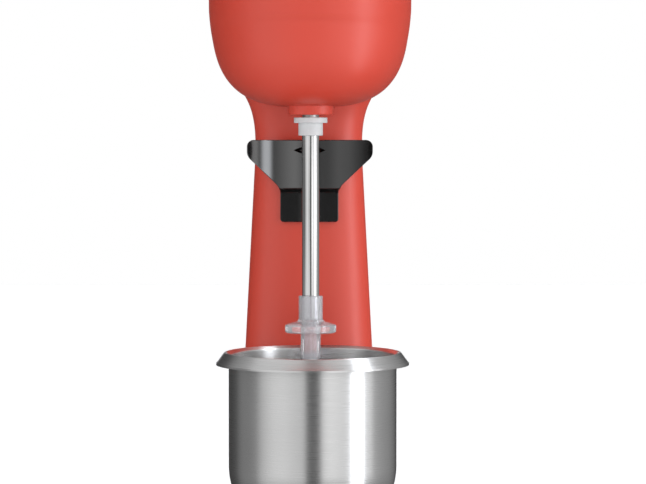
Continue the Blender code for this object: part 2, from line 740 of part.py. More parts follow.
# ---------------------------------------------------------------- spindle
def make_spindle():
    at = (0, SPINDLE_Y, 0)
    collar = [
        (ROD_RADIUS + GAP, COLLAR_BOTTOM),
        (COLLAR_RADIUS - 0.4, COLLAR_BOTTOM),
        (COLLAR_RADIUS, COLLAR_BOTTOM + 0.5),
        (COLLAR_RADIUS, COLLAR_STEP),
        (COLLAR_FLANGE - 0.3, COLLAR_STEP),
        (COLLAR_FLANGE, COLLAR_STEP + 0.5),
        (COLLAR_FLANGE, COLLAR_TOP - 0.5),
        (COLLAR_FLANGE - 0.5, COLLAR_TOP),
        (ROD_RADIUS + GAP, COLLAR_TOP),
    ]
    agitator = [
        (TUBE_BORE, TUBE_TIP + 0.6),
        (TUBE_RADIUS - 1.2, TUBE_TIP),
        (TUBE_RADIUS, TUBE_TIP + 1.5),
        (TUBE_RADIUS, DISC_BOTTOM),
        (DISC_RADIUS - 1.2, DISC_BOTTOM),
        (DISC_RADIUS, DISC_BOTTOM + 1.2),
        (DISC_RADIUS, DISC_EDGE - 1.8),
        (DISC_RADIUS - 1.6, DISC_EDGE),
        (SOCKET_RADIUS + 1, DISC_TOP - 0.8),
        (SOCKET_RADIUS, DISC_TOP + 0.6),
        (SOCKET_RADIUS, SOCKET_TOP - 0.5),
        (SOCKET_RADIUS - 0.5, SOCKET_TOP),
        (ROD_RADIUS + GAP, SOCKET_TOP),
        (ROD_RADIUS + GAP, DISC_TOP - 0.6),
        (TUBE_BORE, DISC_TOP - 0.6),
    ]
    rod_profile = [
        (0, DISC_TOP - 0.3),
        (ROD_RADIUS - 0.4, DISC_TOP - 0.3),
        (ROD_RADIUS, DISC_TOP + 0.2),
        (ROD_RADIUS, 325.6),
        (ROD_RADIUS - 0.4, 326.0),
        (0, 326.0),
    ]
    shaft_profile = [
        (0, 326.3),
        (STUB_RADIUS, 326.3),
        (STUB_RADIUS, 345.5),
        (SHAFT_RADIUS, 345.5),
        (SHAFT_RADIUS, 470.0),
        (0, 470.0),
    ]
    pieces = [
        put("spindle_collar", turned(collar, 20), GREY, at=at),
        put("spindle_rod", turned(rod_profile, 24), STEEL, at=at),
        put("motor_shaft", turned(shaft_profile, 20), STEEL, at=at),
    ]
    tip = put("agitator", turned(agitator, 22), CLEAR, at=at)
    vent_low = (-20, SPINDLE_Y - 1.6, TUBE_TIP + 5)
    vent_high = (20, SPINDLE_Y + 1.6, DISC_BOTTOM - 4)
    vents = blocks("agitator_vents", [(vent_low, vent_high)])
    boolean(tip, "DIFFERENCE", vents)
    return [*pieces, tip]


# ---------------------------------------------------------------- motor
def make_motor_frames():
    """The two pressed frames that hold the bearings below and above the stack of laminations."""
    at = (0, SPINDLE_Y, 0)
    bearing_bore = BEARING_RADIUS + GAP
    lower = [
        (STUB_RADIUS + 1.5, LOWER_BEARING - 3.3),
        (14.5, LOWER_BEARING - 3.3),
        (14.5, 360.0),
        (34.0, 360.0),
        (MOTOR_RADIUS, 364.0),
        (MOTOR_RADIUS, STACK_LOW - GAP),
        (MOTOR_RADIUS - 2.5, STACK_LOW - GAP),
        (MOTOR_RADIUS - 2.5, 366.0),
        (34.0, 363.0),
        (bearing_bore, 363.0),
        (bearing_bore, LOWER_BEARING - GAP),
        (STUB_RADIUS + 1.5, LOWER_BEARING - GAP),
    ]
    upper = [
        (SHAFT_RADIUS + 1.5, UPPER_BEARING + BEARING_HEIGHT + GAP),
        (SHAFT_RADIUS + 1.5, UPPER_BEARING + BEARING_HEIGHT + 2.3),
        (13.5, UPPER_BEARING + BEARING_HEIGHT + 2.3),
        (14.5, UPPER_BEARING + BEARING_HEIGHT + 1.0),
        (14.5, 459.0),
        (31.0, 459.0),
        (33.0, 457.0),
        (33.0, 436.0),
        (MOTOR_RADIUS, 436.0),
        (MOTOR_RADIUS, STACK_HIGH + GAP),
        (MOTOR_RADIUS - 2.5, STACK_HIGH + GAP),
        (MOTOR_RADIUS - 2.5, 433.5),
        (30.5, 433.5),
        (30.5, 456.3),
        (bearing_bore, 456.3),
        (bearing_bore, UPPER_BEARING + BEARING_HEIGHT + GAP),
    ]
    lower_frame = put("motor_frame_lower", turned(lower, 20), ZINC, at=at)
    ears = blocks("motor_ears", [((36.6, SPINDLE_Y - 5, 363.2), (46, SPINDLE_Y + 5, 366.2)),
                                 ((-46, SPINDLE_Y - 5, 363.2), (-36.6, SPINDLE_Y + 5, 366.2))])
    boolean(lower_frame, "UNION", ears)
    boolean(lower_frame, "DIFFERENCE", upright("ear_holes", 2.3, POST_PLACES, 355, 370))
    windows = []
    for angle in (35, 80, 125, 215, 260, 305):
        hole = block((28, -9, 367.5), (45, 9, 380))
        windows.append(put(f"air_window_{angle}", hole, GREY, at=at, turn=(0, 0, angle), helper=True))
    boolean(lower_frame, "DIFFERENCE", *windows)
    upper_frame = put("motor_frame_upper", turned(upper, 20), ZINC, at=at)
    way_low = (-45, SPINDLE_Y - BRUSH_HALF - GAP, BRUSH_Z - BRUSH_HALF - GAP)
    way_high = (45, SPINDLE_Y + BRUSH_HALF + GAP, BRUSH_Z + BRUSH_HALF + GAP)
    boolean(upper_frame, "DIFFERENCE", blocks("brush_way", [(way_low, way_high)]))


def make_stator():
    """A ring of laminations with a pole in front and one behind, each wound with a field coil."""
    at = (0, SPINDLE_Y, 0)
    yoke = put("motor_stator", tube(YOKE_BORE, MOTOR_RADIUS, STACK_LOW, STACK_HIGH, 24), LAMINATION, at=at)
    for side, middle in (("front", 270), ("rear", 90)):
        shoe = sector(POLE_RADIUS, YOKE_BORE + 1.5, 48, STACK_LOW, STACK_HIGH, middle)
        boolean(yoke, "UNION", put(f"pole_{side}", shoe, LAMINATION, at=at, helper=True))
        turns = sector(POLE_RADIUS + 1, YOKE_BORE - 1, 66, STACK_LOW - 6, STACK_HIGH + 6, middle, 12)
        winding = put(f"field_coil_{side}", turns, COPPER, at=at)
        core = sector(15, 45, 50, STACK_LOW - 0.6, STACK_HIGH + 0.6, middle)
        boolean(winding, "DIFFERENCE", put(f"coil_core_{side}", core, COPPER, at=at, helper=True))


def make_bearings():
    bearing = [(SHAFT_RADIUS + GAP, 0), (6.2, 0), (6.8, 0.7), (8.8, 0.7), (9.4, 0), (BEARING_RADIUS, 0),
               (BEARING_RADIUS, BEARING_HEIGHT), (SHAFT_RADIUS + GAP, BEARING_HEIGHT)]
    put("bearing_lower", turned(bearing, 18), STEEL, at=(0, SPINDLE_Y, LOWER_BEARING))
    put("bearing_upper", turned(bearing, 18), STEEL, at=(0, SPINDLE_Y, UPPER_BEARING))
    lip = STUB_RADIUS + 0.4
    seal = [(lip, 334.2), (9.7, 334.2), (9.7, 341), (8.2, 341), (8.2, 336), (lip, 337)]
    put("shaft_seal", turned(seal, 20), RUBBER, at=(0, SPINDLE_Y, 0))


def square_bar(inner, outer, half):
    """A bar of square section that points out from the spindle at the brushes' height."""
    return block((inner, -half, BRUSH_Z - half), (outer, half, BRUSH_Z + half))


def make_brushes():
    """On each side a brass holder, and in it a carbon brush that a spring presses on the commutator."""
    at = (0, SPINDLE_Y, 0)
    brush_end = 24.0
    for side, way in (("left", -1), ("right", 1)):
        turn = (0, 0, 90 - 90 * way)
        shell = put(f"brush_holder_{side}", square_bar(14.5, 36, BRUSH_HALF), BRASS, at=at, turn=turn)
        hollow = square_bar(10, 34.5, BRUSH_HALF - 1.4)
        boolean(shell, "DIFFERENCE", put(f"brush_hollow_{side}", hollow, GREY, at=at, turn=turn, helper=True))
        brush = square_bar(COMMUTATOR_RADIUS + 0.6, brush_end, BRUSH_HALF - 1.8)
        put(f"carbon_brush_{side}", brush, CARBON, at=at, turn=turn)
        spring_at = (way * (brush_end + 0.4), SPINDLE_Y, BRUSH_Z)
        put(f"brush_spring_{side}", coil(2.4, 0.35, 4, 9.6), STEEL, at=spring_at, turn=(0, 90 * way, 0))


def make_armature():
    """Everything on the motor shaft that turns with the spindle."""
    at = (0, SPINDLE_Y, 0)
    bore = SHAFT_RADIUS + GAP
    laminations = tube(bore, ARMATURE_RADIUS, STACK_LOW + 1, STACK_HIGH - 1, 36)
    armature = put("armature", laminations, LAMINATION, at=at)
    slots = []
    for i in range(12):
        slot = block((ARMATURE_RADIUS - 6, -1.1, 380), (ARMATURE_RADIUS + 3, 1.1, 430))
        slots.append(put(f"armature_slot_{i}", slot, GREY, at=at, turn=(0, 0, 30 * i), helper=True))
    boolean(armature, "DIFFERENCE", *slots)
    ring = [(8, 0), (17, 0), (19.5, 2.5), (18, 7), (11, 9), (8, 7)]
    flipped = [(r, -z) for r, z in ring]
    bars = tube(bore, COMMUTATOR_RADIUS, BRUSH_Z - 7, BRUSH_Z + 7, 24)
    hub_and_plate = [
        (bore, 367),
        (8, 367),
        (8, 368.4),
        (34, 369.4),
        (34, 371),
        (8, 370),
        (8, 373.5),
        (bore, 373.5),
    ]
    fan = put("cooling_fan", turned(hub_and_plate, 24), BLACK, at=at)
    for i in range(8):
        blade = block((7, -0.7, 369.6), (33.5, 0.7, 375.5))
        boolean(fan, "UNION", put(f"fan_blade_{i}", blade, BLACK, at=at, turn=(0, 0, 45 * i), helper=True))
    return [
        armature,
        put("winding_upper", turned(ring, 20), COPPER, at=(0, SPINDLE_Y, STACK_HIGH - 0.7)),
        put("winding_lower", turned(flipped, 20), COPPER, at=(0, SPINDLE_Y, STACK_LOW + 0.7)),
        put("commutator", bars, BRASS, at=at),
        fan,
    ]


def make_motor():
    make_motor_frames()
    make_stator()
    make_bearings()
    make_brushes()
    for side, (x, y) in zip(("right", "left"), POST_PLACES):
        screw(f"motor_screw_{side}", 3.4, 2.4, 1.7, 9, (x, y, 366.5), (0, 0, 0))
    return make_armature()


# ---------------------------------------------------------------- switches and electrics
def make_speed_switch():
    face = SWITCH_FACE + GAP
    body = put("speed_switch_body", block((-11, 62, SWITCH_Z - 11), (11, face + 0.5, SWITCH_Z + 11)), BLACK)
    flange = ((-13.5, face, SWITCH_Z - 13.5), (13.5, face + 1.8, SWITCH_Z + 13.5))
    boolean(body, "UNION", blocks("switch_flange", [flange]))
    well = ((-8.6, 71, SWITCH_Z - 9.4), (8.6, 100, SWITCH_Z + 9.4))
    boolean(body, "DIFFERENCE", blocks("switch_well", [well]))
    lobe = 5.0
    outline = [(-7.6, 3.4), (-8, 4.6), (-4, 3.7), (0, 3.3), (4, 3.7), (8, 4.6), (7.6, 3.4)]
    outline += arc((0, 0), lobe, 20, -200, 12)
    rings = [[(x, b, a) for a, b in outline] for x in (-8.2, 8.2)]
    rocker = put("speed_rocker", skin(rings), BLACK, at=(0, SWITCH_FACE - 0.5, SWITCH_Z))
    return body, rocker


def make_electrics():
    put("micro_switch", block((-10, 44.0, BUTTON_Z - 8.5), (10, 54.0, BUTTON_Z + 3.5), 0.5, 1), BLACK)
    bracket = put("switch_bracket", block((-11, 30.8, BUTTON_Z + 6), (11, 32.0, BUTTON_Z + 16)), ZINC)
    arm = blocks("bracket_arm", [((-11, 31.5, BUTTON_Z + 6), (11, 54.0, BUTTON_Z + 7.2))])
    boolean(bracket, "UNION", arm)
    board = block((-24, 38.0, 356), (24, 39.6, 402))
    put("control_board", board, BOARD)
    put("suppressor_capacitor", block((-14, 40.0, 362), (12, 51.0, 378), 1.0, 1), GREY)
    heat_sink = put("triac_heat_sink", block((-18, 40.0, 384), (18, 42.0, 400)), ZINC)
    fins = [((x - 0.8, 41.5, 384), (x + 0.8, 49.0, 400)) for x in (-15, -9, -3, 3, 9, 15)]
    boolean(heat_sink, "UNION", blocks("sink_fins", fins))
    gland = turned([(3.2, 0), (5.0, 0), (5.0, 5.0), (6.8, 5.0), (6.8, 6.6), (3.2, 6.6)], 16)
    put("cord_gland", gland, RUBBER, at=(0, DEPTH / 2 - 6.6, GLAND_Z), turn=(-90, 0, 0))
    put("terminal_block", block((-16, 60, 8.2), (16, 74, 15.2), 0.5, 1), GREY)
    put("ballast", block((-38, -40, 8.2), (38, 28, 15.2), 1.0, 1), IRON)


def make_harness():
    """The bundle of wires from the terminal block up the column to the control board."""
    route = bpy.data.curves.new("wire_harness", "CURVE")
    route.dimensions = "3D"
    route.bevel_depth = 2.5 * MM
    route.bevel_resolution = 2
    route.use_fill_caps = True
    line = route.splines.new("POLY")
    steps = 14
    low, high = Vector((0, 62, 17.5)), Vector((0, 60, 352))
    sway = 14.0
    line.points.add(steps)
    for i, point in enumerate(line.points):
        share = i / steps
        place = low.lerp(high, share)
        place.x += sway * math.sin(math.pi * share)
        point.co = (*(place * MM), 1)
    route.materials.append(RUBBER)
    made = bpy.data.objects.new("wire_harness", route)
    scene.collection.objects.link(made)
    return made


# ---------------------------------------------------------------- the whole mixer
def make_all():
    make_housing()
    make_rear_cover()
    for name, z in zip(("lower", "upper"), COVER_SCREW_LEVELS):
        seat = column_section(z)[2] - COVER_SCREW_SEAT + GAP
        screw(f"cover_screw_{name}", 3.2, 2.0, 1.6, 11, (0, seat, z), (-90, 0, 0))
    make_head_cap()
    for side, (x, y) in zip(("right", "left"), CAP_SCREW_PLACES):
        screw(f"cap_screw_{side}", 3.2, 2.0, 1.6, 18, (x, y, SEAM - 4), (180, 0, 0))

    make_foot()
    make_foot_cover()
    make_foot_pads()
    put("seat_mat", rod(SEAT_RADIUS - 0.5, SEAT_FLOOR + GAP, CUP_FOOT - GAP, 32), RUBBER, at=(0, CUP_Y, 0))
    for number, (x, y) in enumerate(CORNER_PLACES, 1):
        screw(f"column_screw_{number}", 3.6, 2.2, 1.7, 18, (x, y, SEAT_FLOOR - FOOT_WALL - GAP), (180, 0, 0))

    make_holder()
    for side, x in zip(("left", "right"), HOLDER_SCREW_X):
        seat = column_front(x, HOLDER_SCREW_Z) + WALL + 0.5
        screw(f"holder_screw_{side}", 3.4, 2.0, 1.6, 4.7, (x, seat, HOLDER_SCREW_Z), (-90, 0, 0))

    standing = [(radius, z - CUP_FOOT) for radius, z in cup_profile()]
    cup = put("cup", turned(standing, 24), STEEL, at=(CUP_X, CUP_Y, CUP_FOOT))
    hang_on(axis_empty("cup_axis", (CUP_X, CUP_Y, CUP_FOOT)), cup)

    button = make_button()
    put("button_spring", coil(3.0, 0.4, 5, 10.4), STEEL, at=(0, 33.1, BUTTON_Z), turn=(-90, 0, 0))
    hang_on(axis_empty("button_axis", (0, 30.8, BUTTON_Z)), button)

    turning = make_spindle() + make_motor()
    hang_on(axis_empty("spindle_axis", (0, SPINDLE_Y, 0)), *turning)

    _, rocker = make_speed_switch()
    hang_on(axis_empty("rocker_axis", (0, SWITCH_FACE - 0.5, SWITCH_Z)), rocker)
    make_electrics()
    make_harness()


make_all()
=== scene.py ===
import json
import math

import bmesh
import bpy
import numpy as np
from mathutils import Matrix, Vector


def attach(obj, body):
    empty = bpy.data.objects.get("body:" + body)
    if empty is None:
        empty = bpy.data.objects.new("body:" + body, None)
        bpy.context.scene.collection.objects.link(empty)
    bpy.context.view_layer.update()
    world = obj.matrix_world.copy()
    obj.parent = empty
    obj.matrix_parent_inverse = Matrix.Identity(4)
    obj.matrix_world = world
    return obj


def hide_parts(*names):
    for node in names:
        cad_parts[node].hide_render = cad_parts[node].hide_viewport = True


# The looks of a milkshake mixer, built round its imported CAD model. Every length is in millimetres, and
# piece() turns it into metres. X is to the right, Y to the back, Z up, and Z = 0 is the counter.

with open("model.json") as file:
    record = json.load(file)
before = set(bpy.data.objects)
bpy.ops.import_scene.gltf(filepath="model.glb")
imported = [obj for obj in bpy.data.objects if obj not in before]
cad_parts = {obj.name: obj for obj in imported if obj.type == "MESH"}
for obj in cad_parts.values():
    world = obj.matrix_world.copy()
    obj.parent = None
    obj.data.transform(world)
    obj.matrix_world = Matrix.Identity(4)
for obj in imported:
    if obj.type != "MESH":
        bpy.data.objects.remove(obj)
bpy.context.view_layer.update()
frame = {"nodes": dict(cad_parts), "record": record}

MM = 0.001
TAU = 2 * math.pi
FINE = 160  # segments of a large round piece
SMALL = 64  # segments of a small one

# ---------------------------------------------------------------- dimensions
# As in the CAD model, but the cup's rim stands 0.6 higher and the nape is slimmed by a length, not a share
HEIGHT = 489.94
SPINDLE_Y = -36.0
WALL = 2.6
SEAM_GAP = 0.3

HEAD_Y = -4.0
HEAD_POWER = 2.4
HEAD_DEPTH_SHARE = 1.39
BOWL_BOTTOM = 338.1
BOWL_SHOULDER = 395.2
BOWL_POWER = 3.1
BOWL_HALF_WIDTH = 61.95
BOWL_DRAFT = 0.085
BOWL_LEAN = 20.0
HEAD_WIDEST = 435.0
DOME_POWER = 2.4
SEAM = 408.0

COLUMN_FOOT = 22.3
WAIST = 310.0
WAIST_HALF_WIDTH = 34.35
WAIST_FRONT = 27.0
WAIST_REAR = 84.0
SIDE_TAPER = 0.0527
FRONT_TAPER = 0.03
REAR_TAPER = 0.02
REAR_LEAN = 0.05
NECK_TOP = 350.0
NECK_FLARE = 9.3
NECK_POWER = 3.1
NAPE_TOP = 392.0
NAPE_SHARE = 0.985
NAPE_RUN = NECK_FLARE * NECK_POWER * (NAPE_TOP - NECK_TOP) / (NECK_TOP - WAIST)
NAPE_SLIM = 9.0
NAPE_SLIM_LOW = 332.0
NAPE_SLIM_MIDDLE = 359.0
NAPE_SLIM_FRONT = 45.0
NAPE_SLIM_REAR = 78.0
COLUMN_POWER = 3.0
CREASE = 3.0
NAPE_CREASE = 14.0

FOOT_TOP = 22.0
FOOT_UNDERSIDE = 3.0
FOOT_WIDTH = 170.0
FOOT_FRONT = -98.0
FOOT_REAR = 105.2
FOOT_CORNER = 34.0
FOOT_ROUND = 7.0
SEAT_RADIUS = 41.0
SEAT_FLOOR = 18.7

CUP_X = 1.0
CUP_Y = -48.5
CUP_FOOT = 20.3
CUP_RADIUS = 50.9
CUP_RIM = 189.6
CUP_LIP_RADIUS = 58.5
CUP_SHEET = 0.8
SHOULDER_Z = 120.6
SHOULDER_RADIUS = 44.0
SHOULDER_SWEEP = 38.0
CUP_DRAFT = 2.5

HOLDER_RADIUS = 51.7
HOLDER_SHEET = 3.0
HOLDER_TOP = 318.0
HOLDER_BOTTOM = 266.1
HOLDER_HALF_WIDTH = 39.25
HOLDER_STEM = 18.4
HOLDER_SLANT = 46.0
HOLDER_BREAK_HIGH = 287.6
HOLDER_BREAK_LOW = 284.6
HOLDER_STEM_FRONT = WAIST_FRONT - 4.4
BUTTON_Z = 311.5

BOSS_TIP = 333.1
ROD_RADIUS = 5.28
COVER_SCREW_LEVELS = (92, 252)
COVER_HALF_WIDTH = 25.0
COVER_LOW = 70.0
COVER_TOP = 275.0
COVER_GAP = 0.3
GRILLE_LOW = 206.0
GRILLE_HALF_WIDTH = 17.0
GRILLE_PITCH = 4.5
GRILLE_SLOT = 2.2
SWITCH_OPENING = (14.5, 15.0)  # half width, half height
BUTTON_OPENING = (10.6, 3.2)
VENT_LEVELS = (422, 458)
SWITCH_Z = 441.0
SWITCH_FACE = 80.2


# ---------------------------------------------------------------- materials
def link(tree, source, target):
    tree.links.new(source, target)


def node(tree, kind, **settings):
    made = tree.nodes.new(kind)
    for name, value in settings.items():
        setattr(made, name, value)
    return made


def noise(tree, place, scale, stretch=(1, 1, 1), detail=4.0, rough=0.55):
    """A noise over the object's own coordinates, with scale in features a metre."""
    mapping = node(tree, "ShaderNodeMapping")
    mapping.inputs["Scale"].default_value = stretch
    link(tree, place.outputs["Object"], mapping.inputs["Vector"])
    made = node(tree, "ShaderNodeTexNoise")
    made.inputs["Scale"].default_value = scale
    made.inputs["Detail"].default_value = detail
    made.inputs["Roughness"].default_value = rough
    link(tree, mapping.outputs["Vector"], made.inputs["Vector"])
    return made.outputs["Fac"]


def spread(tree, value, low, high):
    made = node(tree, "ShaderNodeMapRange")
    made.inputs["From Min"].default_value = 0.25
    made.inputs["From Max"].default_value = 0.75
    made.inputs["To Min"].default_value = low
    made.inputs["To Max"].default_value = high
    link(tree, value, made.inputs["Value"])
    return made.outputs["Result"]


def look(name, colour, roughness, metallic=0.0, grain=800.0, stretch=(1, 1, 1), tone=0.05, blotch=0.04,
         sheen_spread=0.05, relief=0.01, second=None, **sockets):
    """A surface whose colour, roughness and relief vary at a fine grain and in broad, faint patches."""
    made = bpy.data.materials.new(name)
    made.use_nodes = True
    tree = made.node_tree
    shader = tree.nodes["Principled BSDF"]
    place = node(tree, "ShaderNodeTexCoord")
    fine = noise(tree, place, grain, stretch)
    broad = noise(tree, place, 28.0, (1, 1, 1), 3.0)
    second = second or tuple(min(c * (1 + tone), 1) for c in colour)
    dark = tuple(c * (1 - tone) for c in colour)
    first_mix = node(tree, "ShaderNodeMix", data_type="RGBA")
    first_mix.inputs["A"].default_value = (*dark, 1)
    first_mix.inputs["B"].default_value = (*second, 1)
    link(tree, spread(tree, fine, 0, 1), first_mix.inputs["Factor"])
    patches = node(tree, "ShaderNodeMix", data_type="RGBA", blend_type="MULTIPLY")
    patches.inputs["B"].default_value = (1 - blotch * 2, 1 - blotch * 2, 1 - blotch * 2, 1)
    link(tree, spread(tree, broad, 0, 1), patches.inputs["Factor"])
    link(tree, first_mix.outputs["Result"], patches.inputs["A"])
    link(tree, patches.outputs["Result"], shader.inputs["Base Color"])
    low, high = max(roughness - sheen_spread, 0.02), min(roughness + sheen_spread, 1)
    link(tree, spread(tree, fine, low, high), shader.inputs["Roughness"])
    bump = node(tree, "ShaderNodeBump")
    bump.inputs["Strength"].default_value = 1.0
    bump.inputs["Distance"].default_value = relief * MM
    link(tree, fine, bump.inputs["Height"])
    link(tree, bump.outputs["Normal"], shader.inputs["Normal"])
    shader.inputs["Metallic"].default_value = metallic
    for socket, value in sockets.items():
        shader.inputs[socket.replace("_", " ")].default_value = value
    return made


def turned_metal(name, colour, roughness, lines, anisotropy, tone=0.05, relief=0.004):
    """Brushed round and round: fine level lines, and reflections that run together up and down."""
    made = look(name, colour, roughness, 1.0, 1.0, (25, 25, lines), tone, 0.03, 0.06, relief)
    tree = made.node_tree
    shader = tree.nodes["Principled BSDF"]
    shader.inputs["Anisotropic"].default_value = anisotropy
    shader.inputs["Anisotropic Rotation"].default_value = 0.25
    around = node(tree, "ShaderNodeTangent", direction_type="RADIAL", axis="Z")
    link(tree, around.outputs["Tangent"], shader.inputs["Tangent"])
    return made


CORAL = (0.495, 0.027, 0.0068)
LOOKS = {
    "coral_plastic": look("coral_satin", CORAL, 0.46, grain=650, tone=0.012, blotch=0.008, sheen_spread=0.03,
                          relief=0.006, IOR=1.74),
    "coral_paint": look("coral_paint", CORAL, 0.46, grain=500, tone=0.015, blotch=0.01, sheen_spread=0.04,
                        relief=0.012, IOR=1.74),
    "black_gloss": look("black_gloss", (0.006, 0.006, 0.006), 0.11, grain=900, tone=0.1, sheen_spread=0.02,
                        relief=0.0004, IOR=1.74),
    "black_matte": look("black_moulded", (0.02, 0.02, 0.021), 0.55, grain=1800, tone=0.15, relief=0.03),
    "grey_plastic": look("grey_moulded", (0.5, 0.51, 0.52), 0.38, grain=700, tone=0.03, relief=0.006,
                         Subsurface_Weight=0.25, Subsurface_Radius=(0.002, 0.002, 0.002)),
    "clear_plastic": look("clear_moulded", (0.86, 0.86, 0.89), 0.05, grain=500, tone=0.01, blotch=0.01,
                          sheen_spread=0.03, relief=0.006, Transmission_Weight=0.76, IOR=1.49),
    "steel": turned_metal("brushed_steel", (0.73, 0.73, 0.73), 0.30, 5200, 0.8, 0.04, 0.003),
    "zinc": look("zinc_plate", (0.62, 0.63, 0.60), 0.34, 1.0, grain=420, tone=0.12, sheen_spread=0.1,
                 second=(0.72, 0.70, 0.58)),
    "aluminium": look("drawn_aluminium", (0.72, 0.73, 0.75), 0.32, 1.0, grain=40, stretch=(60, 60, 1),
                      tone=0.06),
    "lamination": look("stacked_lamination", (0.22, 0.22, 0.24), 0.45, 0.9, grain=1, stretch=(30, 30, 2000),
                       tone=0.4, relief=0.05),
    "copper": look("enamelled_wire", (0.52, 0.17, 0.06), 0.28, 0.9, grain=1, stretch=(60, 60, 1600), tone=0.3,
                   relief=0.12),
    "brass": look("pressed_brass", (0.62, 0.44, 0.17), 0.3, 1.0, grain=500, tone=0.1),
    "carbon": look("pressed_carbon", (0.03, 0.03, 0.032), 0.55, grain=2500, tone=0.3, relief=0.04),
    "rubber": look("black_rubber", (0.022, 0.022, 0.022), 0.72, grain=1500, tone=0.2, relief=0.05),
    "board": look("lacquered_board", (0.015, 0.13, 0.05), 0.35, grain=1, stretch=(900, 900, 300), tone=0.35,
                  second=(0.03, 0.22, 0.09)),
    "iron": look("rough_casting", (0.09, 0.09, 0.095), 0.62, 0.7, grain=900, tone=0.35, relief=0.2),
}
ROD_STEEL = turned_metal("ground_steel", (0.73, 0.73, 0.73), 0.16, 6000, 0.5, 0.03, 0.002)

for entry in frame["record"]["subparts"]:
    for material_slot in frame["nodes"][entry["node"]].material_slots:
        material_slot.material = LOOKS[entry["material_slot"]]


# ---------------------------------------------------------------- making pieces
def arc(centre, radius, start, end, steps):
    """Points on a circle, from one angle to another in degrees."""
    angles = [math.radians(start + (end - start) * i / steps) for i in range(steps + 1)]
    return [(centre[0] + radius * math.cos(a), centre[1] + radius * math.sin(a)) for a in angles]


def filleted(corners, closed=True, steps=6):
    """A line of (x, y, radius) corners with each corner rounded by an arc of its radius."""
    points = []
    for i, (x, y, radius) in enumerate(corners):
        if not radius or (not closed and i in (0, len(corners) - 1)):
            points.append((x, y))
            continue
        here = Vector((x, y))
        to_last = (Vector(corners[i - 1][:2]) - here).normalized()
        to_next = (Vector(corners[(i + 1) % len(corners)][:2]) - here).normalized()
        half = to_last.angle(to_next) / 2
        centre = here + (to_last + to_next).normalized() * radius / math.sin(half)
        spokes = [here + way * radius / math.tan(half) - centre for way in (to_last, to_next)]
        first, last = (math.atan2(spoke.y, spoke.x) for spoke in spokes)
        sweep = (last - first + math.pi) % TAU - math.pi
        for k in range(steps + 1):
            angle = first + sweep * k / steps
            points.append((centre.x + radius * math.cos(angle), centre.y + radius * math.sin(angle)))
    return points


def loft(rings, low_end=True, high_end=True, joined=False):
    """A skin through rings of equal counts. An end is closed with a fan, or the last ring joins the first."""
    count = len(rings[0])
    points = [p for ring in rings for p in ring]
    pairs = list(zip(range(len(rings)), range(1, len(rings))))
    if joined:
        pairs.append((len(rings) - 1, 0))
    faces = []
    for a, b in pairs:
        for i in range(count):
            j = (i + 1) % count
            faces.append((a * count + i, a * count + j, b * count + j, b * count + i))
    for wanted, ring, way in ((low_end, 0, 1), (high_end, len(rings) - 1, -1)):
        if wanted and not joined:
            middle = len(points)
            points.append(tuple(np.mean(rings[ring], axis=0)))
            for i in range(count):
                pair = (ring * count + i, ring * count + (i + 1) % count)[::way]
                faces.append((middle, pair[1], pair[0]))
    return points, faces


def turned(profile, segments=SMALL, at=(0, 0)):
    """Spins (radius, height) points about a vertical axis: a ring, or a solid where both ends are on it."""
    solid = profile[0][0] == 0 and profile[-1][0] == 0
    line = profile[1:-1] if solid else profile
    rings = []
    for radius, height in line:
        turns = [TAU * i / segments for i in range(segments)]
        rings.append([(at[0] + radius * math.cos(t), at[1] + radius * math.sin(t), height) for t in turns])
    if not solid:
        return loft(rings, joined=True)
    points, faces = loft(rings)
    points[-2] = (*at, profile[0][1])
    points[-1] = (*at, profile[-1][1])
    return points, faces


def joined(*meshes):
    """Several meshes as one."""
    points, faces = [], []
    for more_points, more_faces in meshes:
        faces += [tuple(i + len(points) for i in face) for face in more_faces]
        points += list(more_points)
    return points, faces


def moved(mesh, matrix):
    points, faces = mesh
    return [tuple(matrix @ Vector(p)) for p in points], faces


def box_mesh(low, high, rounding, steps=3):
    """A block between two corners with rounded edges."""
    bm = bmesh.new()
    bmesh.ops.create_cube(bm, size=1)
    bmesh.ops.scale(bm, vec=[b - a for a, b in zip(low, high)], verts=bm.verts)
    bmesh.ops.translate(bm, vec=[(a + b) / 2 for a, b in zip(low, high)], verts=bm.verts)
    bmesh.ops.bevel(bm, geom=bm.edges, offset=rounding, segments=steps, affect="EDGES", profile=0.5)
    return taken(bm)


def taken(bm):
    """The points and faces of a bmesh, which is freed."""
    bm.verts.index_update()
    mesh = [tuple(v.co) for v in bm.verts], [tuple(v.index for v in f.verts) for f in bm.faces]
    bm.free()
    return mesh


def filled(mesh):
    bm = bmesh.new()
    verts = [bm.verts.new(p) for p in mesh[0]]
    for face in mesh[1]:
        bm.faces.new([verts[i] for i in face])
    return bm


def piece(name, mesh, body, slot, *nodes, material=None, crease=32.0, field=None):
    """Links a mesh as a piece that rides on a body and stands for CAD nodes, in its slot's look or another."""
    bm = filled(mesh)
    bmesh.ops.recalc_face_normals(bm, faces=bm.faces)
    bmesh.ops.scale(bm, vec=(MM, MM, MM), verts=bm.verts)
    data = bpy.data.meshes.new(name)
    bm.to_mesh(data)
    bm.free()
    data.materials.append(material or LOOKS[slot])
    data.shade_smooth()
    data.set_sharp_from_angle(angle=math.radians(crease))
    if field:
        true_normals(data, field)
    made = bpy.data.objects.new(name, data)
    bpy.context.scene.collection.objects.link(made)
    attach(made, body)
    if nodes:
        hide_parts(*nodes)
    return made


# ---------------------------------------------------------------- the coral skin, as fields zero on it
def head_half_width(z):
    rise = np.minimum(z, HEAD_WIDEST) - BOWL_SHOULDER
    easing = 1 - np.maximum(rise, 0) / (2 * (HEAD_WIDEST - BOWL_SHOULDER))
    return BOWL_HALF_WIDTH + BOWL_DRAFT * rise * easing


